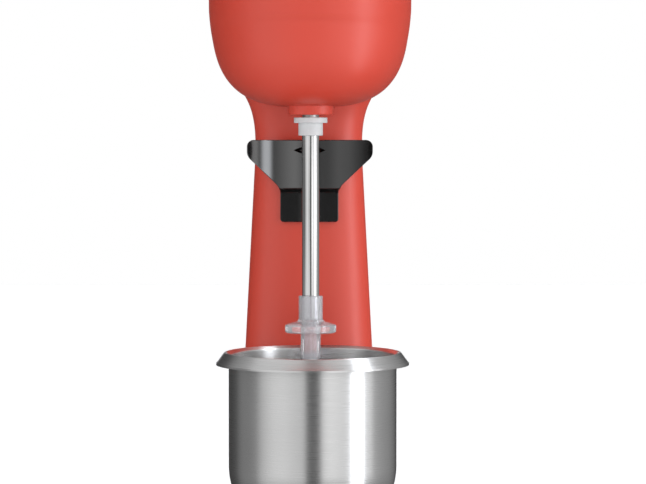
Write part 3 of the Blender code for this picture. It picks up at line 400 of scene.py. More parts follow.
def head_radius(p, lean=0.0):
    half_width = head_half_width(p[:, 2])
    across = np.abs(p[:, 0]) / half_width
    along = np.abs(p[:, 1] - HEAD_Y + lean) / (half_width * HEAD_DEPTH_SHARE)
    return (across**HEAD_POWER + along**HEAD_POWER) ** (1 / HEAD_POWER)


def bowl_field(p):
    below = np.maximum(BOWL_SHOULDER - p[:, 2], 0) / (BOWL_SHOULDER - BOWL_BOTTOM)
    return (head_radius(p, BOWL_LEAN * below**2) ** BOWL_POWER + below**BOWL_POWER) ** (1 / BOWL_POWER) - 1


def dome_field(p):
    above = np.maximum(p[:, 2] - HEAD_WIDEST, 0) / (HEIGHT - HEAD_WIDEST)
    return (head_radius(p) ** DOME_POWER + above**DOME_POWER) ** (1 / DOME_POWER) - 1


def smooth_step(value):
    t = np.clip(value, 0, 1)
    return t * t * (3 - 2 * t)


def column_section(z):
    """(half width, front, rear) of the column's outside at a height."""
    below = np.maximum(WAIST - z, 0)
    neck = np.maximum(np.minimum(z, NECK_TOP) - WAIST, 0)
    flare = NECK_FLARE * (neck / (NECK_TOP - WAIST)) ** NECK_POWER
    half_width = WAIST_HALF_WIDTH + SIDE_TAPER * below + flare
    front = WAIST_FRONT - FRONT_TAPER * below - flare
    rear = WAIST_REAR + REAR_TAPER * below - REAR_LEAN * neck
    return half_width, front, rear


def nape_slimming(y, z):
    """How far the rear corners are drawn in below the head, so that they run smoothly up into it."""
    rise = smooth_step((z - NAPE_SLIM_LOW) / (NAPE_SLIM_MIDDLE - NAPE_SLIM_LOW))
    fall = smooth_step((NAPE_TOP - z) / (NAPE_TOP - NAPE_SLIM_MIDDLE))
    return NAPE_SLIM * rise * fall * smooth_step((y - NAPE_SLIM_FRONT) / (NAPE_SLIM_REAR - NAPE_SLIM_FRONT))


def column_field(p):
    z = p[:, 2]
    half_width, front, rear = column_section(z)
    share = np.clip((z - NECK_TOP) / (NAPE_TOP - NECK_TOP), 0, 1)
    ease = smooth_step(share)
    head = head_half_width(z) * NAPE_SHARE
    half_width = half_width + (head - half_width) * ease + NAPE_RUN * share * (1 - share) ** 2
    front = front + (HEAD_Y - head * HEAD_DEPTH_SHARE - front) * ease
    rear = rear + (HEAD_Y + head * HEAD_DEPTH_SHARE - rear) * ease
    power = COLUMN_POWER + (HEAD_POWER - COLUMN_POWER) * ease
    half_width = half_width - nape_slimming(p[:, 1], z)
    across = np.abs(p[:, 0]) / half_width
    along = np.abs(p[:, 1] - (front + rear) / 2) / ((rear - front) / 2)
    return (across**power + along**power) ** (1 / power) - 1


def reading(field, p):
    """How far outside a field's surface each point is, and the way out of it."""
    step = 0.05
    slopes = [(field(p + way) - field(p - way)) / (2 * step) for way in np.eye(3) * step]
    slope = np.stack(slopes, axis=1)
    steepness = np.maximum(np.linalg.norm(slope, axis=1), 1e-9)
    return field(p) / steepness, slope / steepness[:, None]


def housing_skin(p):
    """The bowl and the column as one, with a small fillet where they meet, softer at the nape."""
    bowl, bowl_out = reading(bowl_field, p)
    column, column_out = reading(column_field, p)
    nape = smooth_step((p[:, 1] - 45) / 30) * smooth_step((BOWL_SHOULDER - 7 - p[:, 2]) / 25)
    width = 0.3 + (CREASE + (NAPE_CREASE - CREASE) * nape) * smooth_step((SEAM - p[:, 2]) / 12)
    share = np.clip(0.5 + 0.5 * (column - bowl) / width, 0, 1)
    distance = column * (1 - share) + bowl * share - width * share * (1 - share)
    out = column_out * (1 - share)[:, None] + bowl_out * share[:, None]
    return distance, out / np.linalg.norm(out, axis=1)[:, None]


def column_skin(p):
    return reading(column_field, p)


def dome_skin(p):
    return reading(dome_field, p)


def true_normals(data, field):
    """Sets the corners that lie on a field's surface to its exact normals, and leaves the others alone."""
    count = len(data.vertices)
    points = np.empty(count * 3)
    data.vertices.foreach_get("co", points)
    distance, out = field(points.reshape(-1, 3) / MM)
    flat = np.empty(len(data.polygons) * 3)
    data.polygons.foreach_get("normal", flat)
    flat = flat.reshape(-1, 3)
    chosen = np.zeros((len(data.loops), 3))
    corner_vertex = np.empty(len(data.loops), int)
    data.loops.foreach_get("vertex_index", corner_vertex)
    sizes = np.empty(len(data.polygons), int)
    data.polygons.foreach_get("loop_total", sizes)
    corner_face = np.repeat(np.arange(len(sizes)), sizes)
    near = np.abs(distance[corner_vertex]) < 0.06
    level = np.sum(out[corner_vertex] * flat[corner_face], axis=1) > math.cos(math.radians(25))
    chosen[near & level] = out[corner_vertex][near & level]
    data.normals_split_custom_set(chosen.tolist())


def settled(points, field, rounds=8):
    """Moves points onto a field's surface."""
    p = np.array(points, float)
    for _ in range(rounds):
        distance, out = field(p)
        p -= distance[:, None] * out
    return p


def one_skin(mesh, voxel):
    """A closed skin of nearly even quads round overlapping closed meshes."""
    data = bpy.data.meshes.new("rough")
    data.from_pydata(mesh[0], [], mesh[1])
    rough = bpy.data.objects.new("rough", data)
    bpy.context.scene.collection.objects.link(rough)
    step = rough.modifiers.new("even", "REMESH")
    step.mode = "VOXEL"
    step.voxel_size = voxel
    evaluated = rough.evaluated_get(bpy.context.evaluated_depsgraph_get())
    made = evaluated.to_mesh()
    points = [tuple(v.co) for v in made.vertices]
    faces = [tuple(f.vertices) for f in made.polygons]
    bpy.data.objects.remove(rough)
    bpy.data.meshes.remove(data)
    return points, faces


def trimmed(bm, height, keep_above):
    """Cuts an open skin level at a height."""
    whole = list(bm.verts) + list(bm.edges) + list(bm.faces)
    bmesh.ops.bisect_plane(bm, geom=whole, dist=1e-4, plane_co=(0, 0, height), plane_no=(0, 0, 1),
                           clear_inner=keep_above, clear_outer=not keep_above)


def window(bm, x_range, z_range, behind=10.0, before=200.0):
    """Cuts an upright rectangle out of the part of a skin that lies between two depths."""
    margin = 8.0
    planes = [((x, 0, 0), (1, 0, 0)) for x in x_range] + [((0, 0, z), (0, 0, 1)) for z in z_range]

    def reached(face, more):
        middle = face.calc_center_median()
        return (x_range[0] - more < middle.x < x_range[1] + more and behind < middle.y < before
                and z_range[0] - more < middle.z < z_range[1] + more)

    for place, way in planes:
        faces = [f for f in bm.faces if reached(f, margin)]
        near = faces + list({e for f in faces for e in f.edges}) + list({v for f in faces for v in f.verts})
        bmesh.ops.bisect_plane(bm, geom=near, dist=1e-4, plane_co=place, plane_no=way)
    bmesh.ops.delete(bm, geom=[f for f in bm.faces if reached(f, 0)], context="FACES")


def walled(bm, field, depth=WALL):
    """Gives an open skin a wall: its inside is set in along the field, and its edges are closed."""
    verts = list(bm.verts)
    points = np.array([v.co for v in verts])
    _, out = field(points)
    edges = [e for e in bm.edges if e.is_boundary]
    inner = [bm.verts.new(p) for p in points - depth * out]
    pair = dict(zip(verts, inner))
    for face in list(bm.faces):
        bm.faces.new([pair[v] for v in reversed(face.verts)])
    for edge in edges:
        a, b = edge.verts
        bm.faces.new((a, b, pair[b], pair[a]))
    return taken(bm)


def ellipse_ring(half_width, front, rear, power, z, count):
    ring = []
    for i in range(count):
        c, s = math.cos(TAU * i / count), math.sin(TAU * i / count)
        x = half_width * math.copysign(abs(c) ** (2 / power), c)
        y = (front + rear) / 2 + (rear - front) / 2 * math.copysign(abs(s) ** (2 / power), s)
        ring.append((x, y, z))
    return ring


def head_ring(z, share, count, lean=0.0):
    half_width = float(head_half_width(z)) * share
    half_depth = half_width * HEAD_DEPTH_SHARE
    middle = HEAD_Y - lean
    return ellipse_ring(half_width, middle - half_depth, middle + half_depth, HEAD_POWER, z, count)


def make_housing():
    rough_top = SEAM + 25
    bowl = []
    for i in range(17):
        t = math.radians(88 * (1 - i / 16))
        down = math.sin(t) ** (2 / BOWL_POWER)
        level = BOWL_SHOULDER - (BOWL_SHOULDER - BOWL_BOTTOM) * down
        bowl.append(head_ring(level, math.cos(t) ** (2 / BOWL_POWER), 72, BOWL_LEAN * down**2))
    bowl.append(head_ring(rough_top, 1, 72))
    column = []
    for z in [COLUMN_FOOT - 15, 100, 200, *range(300, 390, 8)]:
        half_width, front, rear = (float(v) for v in column_section(z))
        if z > NECK_TOP:
            ring = [(x, max(y, 0), z) for x, y, z in head_ring(z, 0.9, 72)]
        else:
            ring = ellipse_ring(half_width, front, rear, COLUMN_POWER, z, 72)
        column.append(ring)
    points, faces = one_skin(joined(loft(bowl), loft(column)), 2.0)
    bm = filled((settled(points, housing_skin).tolist(), faces))
    trimmed(bm, SEAM, keep_above=False)
    trimmed(bm, COLUMN_FOOT, keep_above=True)
    window(bm, (-COVER_HALF_WIDTH, COVER_HALF_WIDTH), (COVER_LOW, COVER_TOP), 60)
    across, up = BUTTON_OPENING
    window(bm, (-across, across), (BUTTON_Z - up, BUTTON_Z + up), 0, 50)
    bore = [f for f in bm.faces if f.calc_center_median().z < 345
            and (f.calc_center_median().xy - Vector((0, SPINDLE_Y))).length < 12.5]
    bmesh.ops.delete(bm, geom=bore, context="FACES")
    shell = walled(bm, housing_skin)
    boss_line = [(10, BOSS_TIP, 0.3), (13.6, BOSS_TIP, 0.7), (13.9, BOSS_TIP + 3.5, 0), (14.2, 343, 0),
                 (10, 343, 0)]
    boss = turned(filleted(boss_line), SMALL, (0, SPINDLE_Y))
    piece("housing_shell", joined(shell, boss), "mixer_body", "coral_plastic", "housing",
          field=housing_skin)


def make_head_cap():
    rings = []
    for z in np.linspace(SEAM + SEAM_GAP, HEAD_WIDEST, 16)[:-1]:
        rings.append(head_ring(float(z), 1, 256))
    for i in range(64):
        t = math.radians(89.5 * i / 63)
        level = HEAD_WIDEST + (HEIGHT - HEAD_WIDEST) * math.sin(t) ** (2 / DOME_POWER)
        rings.append(head_ring(level, math.cos(t) ** (2 / DOME_POWER), 256))
    bm = filled(loft(rings, low_end=False))
    across, up = SWITCH_OPENING
    window(bm, (-across, across), (SWITCH_Z - up, SWITCH_Z + up))
    for side in (-1, 1):
        for i in range(4):
            x = side * (27 + 5.5 * i)
            window(bm, (x - 1.3, x + 1.3), VENT_LEVELS)
    shell = walled(bm, dome_skin)
    pocket = frame_block(SWITCH_OPENING, (11.4, 11.4), SWITCH_FACE - 2.6, SWITCH_FACE)
    sleeve = frame_block((16.5, 17), SWITCH_OPENING, SWITCH_FACE - 2.6, SWITCH_FACE + 3.5)
    piece("head_cap_shell", joined(shell, pocket, sleeve), "mixer_body", "coral_plastic", "head_cap",
          field=dome_skin)


def frame_block(outer, inner, front, back):
    """A rectangular frame that lies across the switch, from one depth to another."""
    rings = []
    for (half_width, half_height), y in ((outer, back), (inner, back), (inner, front), (outer, front)):
        corners = [(1, 1), (-1, 1), (-1, -1), (1, -1)]
        rings.append([(half_width * a, y, SWITCH_Z + half_height * b) for a, b in corners])
    return loft(rings, joined=True)


def make_rear_cover():
    bm = bmesh.new()
    slots = [(GRILLE_LOW + GRILLE_PITCH * i, GRILLE_LOW + GRILLE_PITCH * i + GRILLE_SLOT) for i in range(6)]
    even_levels = np.linspace(COVER_LOW + COVER_GAP, COVER_TOP - COVER_GAP, 90).tolist()
    levels = sorted({*even_levels, *(edge for slot in slots for edge in slot)})
    side = COVER_HALF_WIDTH - COVER_GAP
    places = sorted({*np.linspace(-side, side, 41).tolist(), -GRILLE_HALF_WIDTH, GRILLE_HALF_WIDTH})
    grid = []
    for z in levels:
        half_width, front, rear = column_section(z)
        row = []
        for x in places:
            share = (1 - (abs(x) / half_width) ** COLUMN_POWER) ** (1 / COLUMN_POWER)
            row.append(bm.verts.new((x, (front + rear) / 2 + (rear - front) / 2 * share, z)))
        grid.append(row)
    for low, high, z_low, z_high in zip(grid, grid[1:], levels, levels[1:]):
        middle = (z_low + z_high) / 2
        in_slot = any(low_edge < middle < high_edge for low_edge, high_edge in slots)
        for i in range(len(places) - 1):
            if not (in_slot and abs(places[i] + places[i + 1]) / 2 < GRILLE_HALF_WIDTH):
                bm.faces.new((low[i], low[i + 1], high[i + 1], high[i]))
    cover = piece("rear_cover_shell", walled(bm, column_skin, 2.5), "mixer_body", "coral_plastic",
                  "rear_cover", field=column_skin)
    for z in COVER_SCREW_LEVELS:
        rear = column_section(z)[2]
        outward = Matrix.Translation((0, rear - 1.0, z)) @ Matrix.Rotation(math.radians(-90), 4, "X")
        cut(cover, moved(turned([(0, 0), (3.5, 0), (3.8, 4), (0, 4)], 48), outward))


# ---------------------------------------------------------------- foot
def foot_outline(inset):
    """Half a circle at the front, straight sides, and round corners at the back, with even points."""
    radius = FOOT_WIDTH / 2 - inset
    corner = FOOT_CORNER - inset
    front_y, rear_y, side = FOOT_FRONT + FOOT_WIDTH / 2, FOOT_REAR - FOOT_CORNER, FOOT_WIDTH / 2 - FOOT_CORNER
    outline = arc((0, front_y), radius, 180, 360, 72)
    outline += [(radius, front_y + (rear_y - front_y) * i / 20) for i in range(1, 20)]
    outline += arc((side, rear_y), corner, 0, 90, 18)
    outline += [(side - 2 * side * i / 24, rear_y + corner) for i in range(1, 24)]
    outline += arc((-side, rear_y), corner, 90, 180, 18)
    outline += [(-radius, rear_y + (front_y - rear_y) * i / 20) for i in range(1, 20)]
    return outline


def make_foot():
    def level_ring(inset, z):
        return [(x, y, z) for x, y in foot_outline(inset)]

    def seat_ring(radius, z):
        ring = []
        for x, y in foot_outline(FOOT_ROUND):
            angle = math.atan2(y - CUP_Y, x)
            ring.append((radius * math.cos(angle), CUP_Y + radius * math.sin(angle), z))
        return ring

    rings = [level_ring(8, FOOT_UNDERSIDE + 4.6), level_ring(2.2, FOOT_UNDERSIDE + 4.6),
             level_ring(2.0, FOOT_UNDERSIDE + 0.3)]
    for a in np.radians([0, 30, 60, 90]):
        rings.append(level_ring(1.2 - 1.2 * math.sin(a), FOOT_UNDERSIDE + 1.2 - 1.2 * math.cos(a)))
    rings += [level_ring(0, z) for z in (6, 10, FOOT_TOP - FOOT_ROUND)]
    for a in np.radians(np.linspace(0, 90, 13))[1:]:
        rings.append(level_ring(FOOT_ROUND * (1 - math.cos(a)), FOOT_TOP - FOOT_ROUND * (1 - math.sin(a))))
    rings += [seat_ring(SEAT_RADIUS + 1.0, FOOT_TOP)]
    for a in np.radians([30, 60, 90]):
        rings.append(seat_ring(SEAT_RADIUS + 1.0 - math.sin(a), FOOT_TOP - 1 + math.cos(a)))
    rings += [seat_ring(SEAT_RADIUS, SEAT_FLOOR + 0.5), seat_ring(SEAT_RADIUS - 0.5, SEAT_FLOOR),
              seat_ring(SEAT_RADIUS / 2, SEAT_FLOOR)]
    piece("foot_casting", loft(rings), "mixer_body", "coral_paint", "foot", crease=25)

    rings = [level_ring(2.4, 5.0), level_ring(2.4, 7.4)]
    piece("underside_cover", loft(rings), "mixer_body", "black_matte", "foot_cover")
    mat_radius, mat_top, groove = SEAT_RADIUS - 0.5, CUP_FOOT - 0.3, CUP_FOOT - 0.8
    corners = [(0, SEAT_FLOOR + 0.3, 0), (mat_radius, SEAT_FLOOR + 0.3, 0.2), (mat_radius, mat_top, 0.4)]
    for radius in range(38, 3, -5):
        corners += [(radius, mat_top, 0.2), (radius - 0.6, groove, 0.2), (radius - 1.8, groove, 0.2),
                    (radius - 2.4, mat_top, 0.2)]
    corners.append((0, mat_top, 0))
    mat = turned(filleted(corners, closed=False, steps=3), FINE, (0, CUP_Y))
    piece("ribbed_seat_mat", mat, "mixer_body", "rubber", "seat_mat")
    corners = [(0, 0.9, 0), (5.5, 0.9, 0.4), (6.2, 0, 0.4), (8.4, 0, 0.8), (9, 1.4, 0.6), (9, 4.7, 0.5),
               (2.6, 4.7, 0.3), (2.6, 10.4, 0.5), (0, 10.4, 0)]
    for number, place in enumerate([(46, -66), (-46, -66), (62, 80), (-62, 80)], 1):
        pad = turned(filleted(corners, closed=False), 48, place)
        piece(f"rubber_foot_{number}", pad, "mixer_body", "rubber", f"foot_pad_{number}")
    corners = [(3.2, 0, 0.3), (5.0, 0, 0.3), (5.0, 5, 0.3), (6.8, 5, 0.4), (6.8, 6.6, 0.5), (3.2, 6.6, 0.4)]
    facing = Matrix.Translation((0, 100.4, 13.2)) @ Matrix.Rotation(math.radians(-90), 4, "X")
    piece("cord_bush", moved(turned(filleted(corners), 48), facing), "mixer_body", "rubber", "cord_gland")


# ---------------------------------------------------------------- cup
def make_cup():
    draft = math.radians(CUP_DRAFT)
    sweep = math.radians(SHOULDER_SWEEP)
    hip = (CUP_RADIUS - SHOULDER_RADIUS, SHOULDER_Z)
    fillet = 14.0

    def wall(offset):
        line = [(CUP_RADIUS - offset, z) for z in np.linspace(CUP_RIM - 7, SHOULDER_Z + 3, 8)]
        line += arc(hip, SHOULDER_RADIUS - offset, 0, -SHOULDER_SWEEP, 28)
        reach = SHOULDER_RADIUS + fillet
        centre = (hip[0] + reach * math.cos(sweep), hip[1] - reach * math.sin(sweep))
        line += arc(centre, fillet + offset, 180 - SHOULDER_SWEEP, 180 - CUP_DRAFT, 12)[1:]
        waist = line[-1]
        drop = waist[1] - CUP_FOOT - 2.5
        line += [(waist[0] - drop * t * math.tan(draft), waist[1] - drop * t) for t in (0.25, 0.5, 0.75, 1)]
        return [(x, z, 0) for x, z in line]

    outside, inside = wall(0), wall(CUP_SHEET)
    foot_radius = outside[-1][0]
    inner_floor, outer_floor = CUP_FOOT + 2.3, CUP_FOOT + 1.5
    lip_under = [(CUP_LIP_RADIUS - 1.5, CUP_RIM - 7.1, 0.35), (CUP_RADIUS + 3.3, CUP_RIM - 1.6, 0.6),
                 (CUP_RADIUS + 1.5, CUP_RIM - 1.3, 0.6), (CUP_RADIUS, CUP_RIM - 3.4, 1.5)]
    foot = [(foot_radius - 0.4, CUP_FOOT, 1.2), (foot_radius - 4, CUP_FOOT, 0.8),
            (foot_radius - 5.5, outer_floor, 1.0), (0, outer_floor, 0)]
    floor = [(0, inner_floor, 0), (foot_radius - 6, inner_floor, 1.5), (foot_radius - 2.6, CUP_FOOT + 1.2, 1.5)]
    lip_over = [(CUP_RADIUS - CUP_SHEET, CUP_RIM - 1.9, 1.2), (CUP_RADIUS + 1.5, CUP_RIM, 0.8),
                (CUP_RADIUS + 2.8, CUP_RIM - 0.3, 0.8), (CUP_LIP_RADIUS - 0.5, CUP_RIM - 6.1, 0.0),
                (CUP_LIP_RADIUS, CUP_RIM - 6.4, 0.35), (CUP_LIP_RADIUS, CUP_RIM - 7.6, 0.5)]
    down = filleted(lip_under + outside + foot, closed=False)
    up = filleted(floor + list(reversed(inside)) + lip_over, closed=False)
    rings = []
    turns = [TAU * i / 224 for i in range(224)]
    for radius, z in up[1:] + down[:-1]:
        rings.append([(CUP_X + radius * math.cos(t), CUP_Y + radius * math.sin(t), z) for t in turns])
    points, faces = loft(rings)
    points[-2] = (CUP_X, CUP_Y, inner_floor)
    points[-1] = (CUP_X, CUP_Y, outer_floor)
    piece("malt_cup", (points, faces), "cup", "steel", "cup")


# ---------------------------------------------------------------- cup holder and its button
def holder_outline():
    """(half width, height) from the middle of the top edge down one side to the bottom edge."""
    top_corner, shoulder, armpit, bottom_corner = 4.2, 7.0, 9.5, 2.0
    line = arc((HOLDER_HALF_WIDTH - top_corner, HOLDER_TOP - top_corner), top_corner, 90, 0, 14)
    line += arc((HOLDER_HALF_WIDTH - shoulder, HOLDER_TOP - 7.2), shoulder, 0, -HOLDER_SLANT, 12)
    slant = math.radians(HOLDER_SLANT)
    start = line[-1]
    run = start[0] - HOLDER_STEM - armpit * (1 - math.cos(slant))
    end = (start[0] - run, start[1] - run / math.tan(slant))
    centre = (end[0] + armpit * math.cos(slant), end[1] - armpit * math.sin(slant))
    for t in np.linspace(0, 1, 24)[1:-1]:
        line.append((start[0] + (end[0] - start[0]) * t, start[1] + (end[1] - start[1]) * t))
    line += arc(centre, armpit, 180 - HOLDER_SLANT, 180, 24)
    line += [(HOLDER_STEM, z) for z in np.linspace(line[-1][1], HOLDER_BOTTOM + bottom_corner, 10)[1:-1]]
    line += arc((HOLDER_STEM - bottom_corner, HOLDER_BOTTOM + bottom_corner), bottom_corner, 0, -90, 10)
    return line


def column_front(x, z):
    half_width, front, rear = column_section(z)
    across = np.minimum(np.abs(x) / half_width, 1)
    return (front + rear) / 2 - (rear - front) / 2 * (1 - across**COLUMN_POWER) ** (1 / COLUMN_POWER)


def make_holder():
    outline = np.array(holder_outline())
    shares = np.sin(np.linspace(-math.pi / 2, math.pi / 2, 97))
    x = outline[:, :1] * shares
    z = np.repeat(outline[:, 1:], len(shares), axis=1)
    top = np.linspace(-outline[0, 0], outline[0, 0], 200)
    bottom = np.linspace(-outline[-1, 0], outline[-1, 0], 120)
    ends = [np.stack([across, np.full_like(across, level)], 1)
            for across, level in ((top, HOLDER_TOP), (bottom, HOLDER_BOTTOM))]
    edge = np.concatenate([outline, outline * (-1, 1), *ends])
    places = np.stack([x, z], axis=-1)
    inward = np.min(np.linalg.norm(places[:, :, None, :] - edge[None, None, :, :], axis=-1), axis=-1)
    break_share = smooth_step((HOLDER_BREAK_HIGH - z) / (HOLDER_BREAK_HIGH - HOLDER_BREAK_LOW))
    hollow = SPINDLE_Y + np.sqrt(HOLDER_RADIUS**2 - x**2)
    front = hollow * (1 - break_share) + HOLDER_STEM_FRONT * break_share
    wing_back = SPINDLE_Y + np.sqrt((HOLDER_RADIUS + HOLDER_SHEET) ** 2 - x**2)
    back = wing_back * (1 - break_share) + (column_front(x, z) - 0.3) * break_share

    def eased(radius):
        return radius - np.sqrt(radius**2 - (radius - np.minimum(inward, radius)) ** 2)

    rows, columns = x.shape
    front = front + eased(0.4)
    back = back - eased(0.6)
    points = [(x[i, j], y[i, j], z[i, j]) for y in (front, back) for i in range(rows) for j in range(columns)]
    faces = []
    half = rows * columns
    for i in range(rows - 1):
        for j in range(columns - 1):
            corners = (i * columns + j, i * columns + j + 1, (i + 1) * columns + j + 1, (i + 1) * columns + j)
            faces.append(corners)
            faces.append(tuple(half + c for c in reversed(corners)))
    loop = list(range(columns)) + [i * columns + columns - 1 for i in range(1, rows)]
    loop += [(rows - 1) * columns + j for j in range(columns - 2, -1, -1)]
    loop += [i * columns for i in range(rows - 2, 0, -1)]
    for a, b in zip(loop, loop[1:] + loop[:1]):
        faces.append((a, b, half + b, half + a))
    holder = piece("cup_holder_plate", (points, faces), "mixer_body", "black_gloss", "cup_holder", crease=40)
    lens = []
    for side in (1, -1):
        for i in range(24):
            across = side * 10 * (1 - 2 * i / 24)
            lens.append((across, side * 2.7 * (1 - (across / 10) ** 2)))
    rings = [[(a, y, BUTTON_Z + b) for a, b in lens] for y in (5, 40)]
    cut(holder, loft(rings))
    tongue = box_mesh((-5, 13.0, BUTTON_Z - 1.6), (5, 31, BUTTON_Z + 1.6), 1.1, 4)
    flange = box_mesh((-9.5, 30.8, BUTTON_Z - 4), (9.5, 32.8, BUTTON_Z + 4), 0.4, 2)
    piece("sense_tongue", joined(tongue, flange), "sense_button", "black_gloss", "sense_button")


def cut(target, mesh):
    """Takes a closed mesh out of a piece."""
    bm = filled(mesh)
    bmesh.ops.recalc_face_normals(bm, faces=bm.faces)
    bmesh.ops.scale(bm, vec=(MM, MM, MM), verts=bm.verts)
    data = bpy.data.meshes.new("cutter")
    bm.to_mesh(data)
    bm.free()
    cutter = bpy.data.objects.new("cutter", data)
    bpy.context.scene.collection.objects.link(cutter)
    step = target.modifiers.new("cut", "BOOLEAN")
    step.operation = "DIFFERENCE"
    step.solver = "EXACT"
    step.object = cutter
    evaluated = target.evaluated_get(bpy.context.evaluated_depsgraph_get())
    made = bpy.data.meshes.new_from_object(evaluated)
    target.modifiers.clear()
    target.data = made
    bpy.data.objects.remove(cutter)


# ---------------------------------------------------------------- spindle
def make_spindle():
    at = (0, SPINDLE_Y)
    collar = [(5.58, 320.6, 0.2), (7.45, 320.6, 0.4), (7.45, 328.3, 0.25), (10.2, 328.3, 0.35),
              (10.2, 331.6, 0.45), (5.58, 331.6, 0.3)]
    piece("spindle_flange", turned(filleted(collar), 96, at), "spindle", "grey_plastic", "spindle_collar")
    rod = [(0, 207.1, 0), (ROD_RADIUS, 207.1, 0.5), (ROD_RADIUS, 326.0, 0.4), (0, 326.0, 0)]
    piece("spindle_shaft", turned(filleted(rod, closed=False), 96, at), "spindle", "steel", "spindle_rod",
          material=ROD_STEEL)
    tip = [(4.2, 180.1, 0.3), (6.2, 179.5, 0.8), (6.2, 200.4, 0.7), (15.65, 200.4, 0.9), (15.65, 205.2, 1.3),
           (8.6, 207.2, 2.0), (7.4, 208.6, 1.0), (7.4, 223.0, 0.5), (5.58, 223.0, 0.3), (5.58, 206.8, 0.3),
           (4.2, 206.8, 0.3)]
    agitator = piece("clear_agitator", turned(filleted(tip), 96, at), "spindle", "clear_plastic", "agitator")
    cut(agitator, box_mesh((-20, SPINDLE_Y - 1.6, 184.5), (20, SPINDLE_Y + 1.6, 196.4), 0.5, 2))


# ---------------------------------------------------------------- switch at the back
def ease_edges(target, width):
    step = target.modifiers.new("eased", "BEVEL")
    step.width = width * MM
    step.segments = 3
    step.limit_method = "ANGLE"


def make_switch():
    face = SWITCH_FACE + 0.3
    outer = frame_block((13.5, 13.5), (8.6, 9.4), face, face + 1.8)
    sleeve = frame_block((11, 11), (8.6, 9.4), 71, face + 0.2)
    back = box_mesh((-11, 62, SWITCH_Z - 11), (11, 71.2, SWITCH_Z + 11), 0.5)
    parts = joined(outer, sleeve, back)
    body = piece("switch_frame", parts, "mixer_body", "black_gloss", "speed_switch_body",
                 material=LOOKS["black_matte"])
    ease_edges(body, 0.5)
    outline = [(-7.6, 3.4), (-8.1, 4.6)]
    outline += [(a, 3.3 + 1.3 * (abs(a) / 8.1) ** 1.7) for a in np.linspace(-7.6, 7.6, 21)]
    outline += [(8.1, 4.6), (7.6, 3.4)] + arc((0, 0), 5.0, 20, -200, 24)
    rings = [[(x, SWITCH_FACE - 0.5 + b, SWITCH_Z + a) for a, b in outline] for x in (-8.2, 8.2)]
    rocker = piece("rocker_key", loft(rings), "speed_rocker", "black_gloss", "speed_rocker")
    ease_edges(rocker, 0.4)


make_housing()
make_head_cap()
make_rear_cover()
make_foot()
make_cup()
make_holder()
make_spindle()
make_switch()


# ---------------------------------------------------------------- floor, light and camera
def soft_edge(tree, value, start, end):
    made = node(tree, "ShaderNodeMapRange", interpolation_type="SMOOTHSTEP")
    made.inputs["From Min"].default_value = start
    made.inputs["From Max"].default_value = end
    link(tree, value, made.inputs["Value"])
    return made.outputs["Result"]


def maths(tree, operation, *values):
    made = node(tree, "ShaderNodeMath", operation=operation)
    for socket, value in zip(made.inputs, values):
        if isinstance(value, (int, float)):
            socket.default_value = value
        else:
            link(tree, value, socket)
    return made.outputs["Value"]


# Light from each side, by its bearing from the front in degrees, the right side positive
SIDES = [(-180, 1.0), (-173, 1.0), (-166, 0.06), (-150, 0.06), (-129, 0.1), (-110, 0.3), (-84, 0.4), (-74, 0.8),
         (-55, 1.0), (-12, 1.0), (-8, 0.15), (8, 0.15), (12, 1.0), (50, 1.0), (88, 0.56), (108, 0.4), (129, 0.3),
         (150, 0.14), (160, 0.06), (168, 0.06), (174, 1.0), (180, 1.0)]
# What that light is multiplied by near the horizon, in quarters
LEVEL_SHADING = [(-180, 0.25), (-120, 0.25), (-100, 0.07), (-75, 0.12), (-57, 0.22), (-40, 0.26), (-24, 0.15),
                 (-10, 0.15), (10, 0.3), (20, 0.45), (27, 0.42), (40, 0.28), (54, 0.13), (60, 0.25), (74, 0.25),
                 (80, 0.75), (86, 0.75), (91, 0.25), (180, 0.25)]
SIDE_GAIN = 1.2
LOW_SHARE = 0.3
TOP_SHARE = 0.6
TOP_LEFT = 0.68
TOP_RIGHT = 0.5
STRIP_GAIN = 4.4
STRIP_COLOUR = (0.92, 0.95, 1.0)
FILLS = [(0, 20.0), (80, 12.0), (-75, 6.0)]  # (bearing in degrees, watts)

CAMERA_PLACE = (-0.021, -1.557, 0.316)  # metres
CAMERA_DIP = 2.27  # degrees below level
CAMERA_TURN = -1.075
FOCAL_LENGTH = 139.0


def ramp(tree, bearing, levels):
    """Levels from 0 to 1 by bearing, with straight runs between them."""
    made = node(tree, "ShaderNodeFloatCurve")
    curve = made.mapping.curves[0]
    for i, (degrees, level) in enumerate(levels):
        spot = ((degrees + 180) / 360, level)
        if i < 2:
            curve.points[i].location = spot
        else:
            curve.points.new(*spot)
    for point in curve.points:
        point.handle_type = "VECTOR"
    made.mapping.update()
    link(tree, maths(tree, "DIVIDE", maths(tree, "ADD", bearing, 180), 360), made.inputs["Value"])
    return made.outputs["Value"]


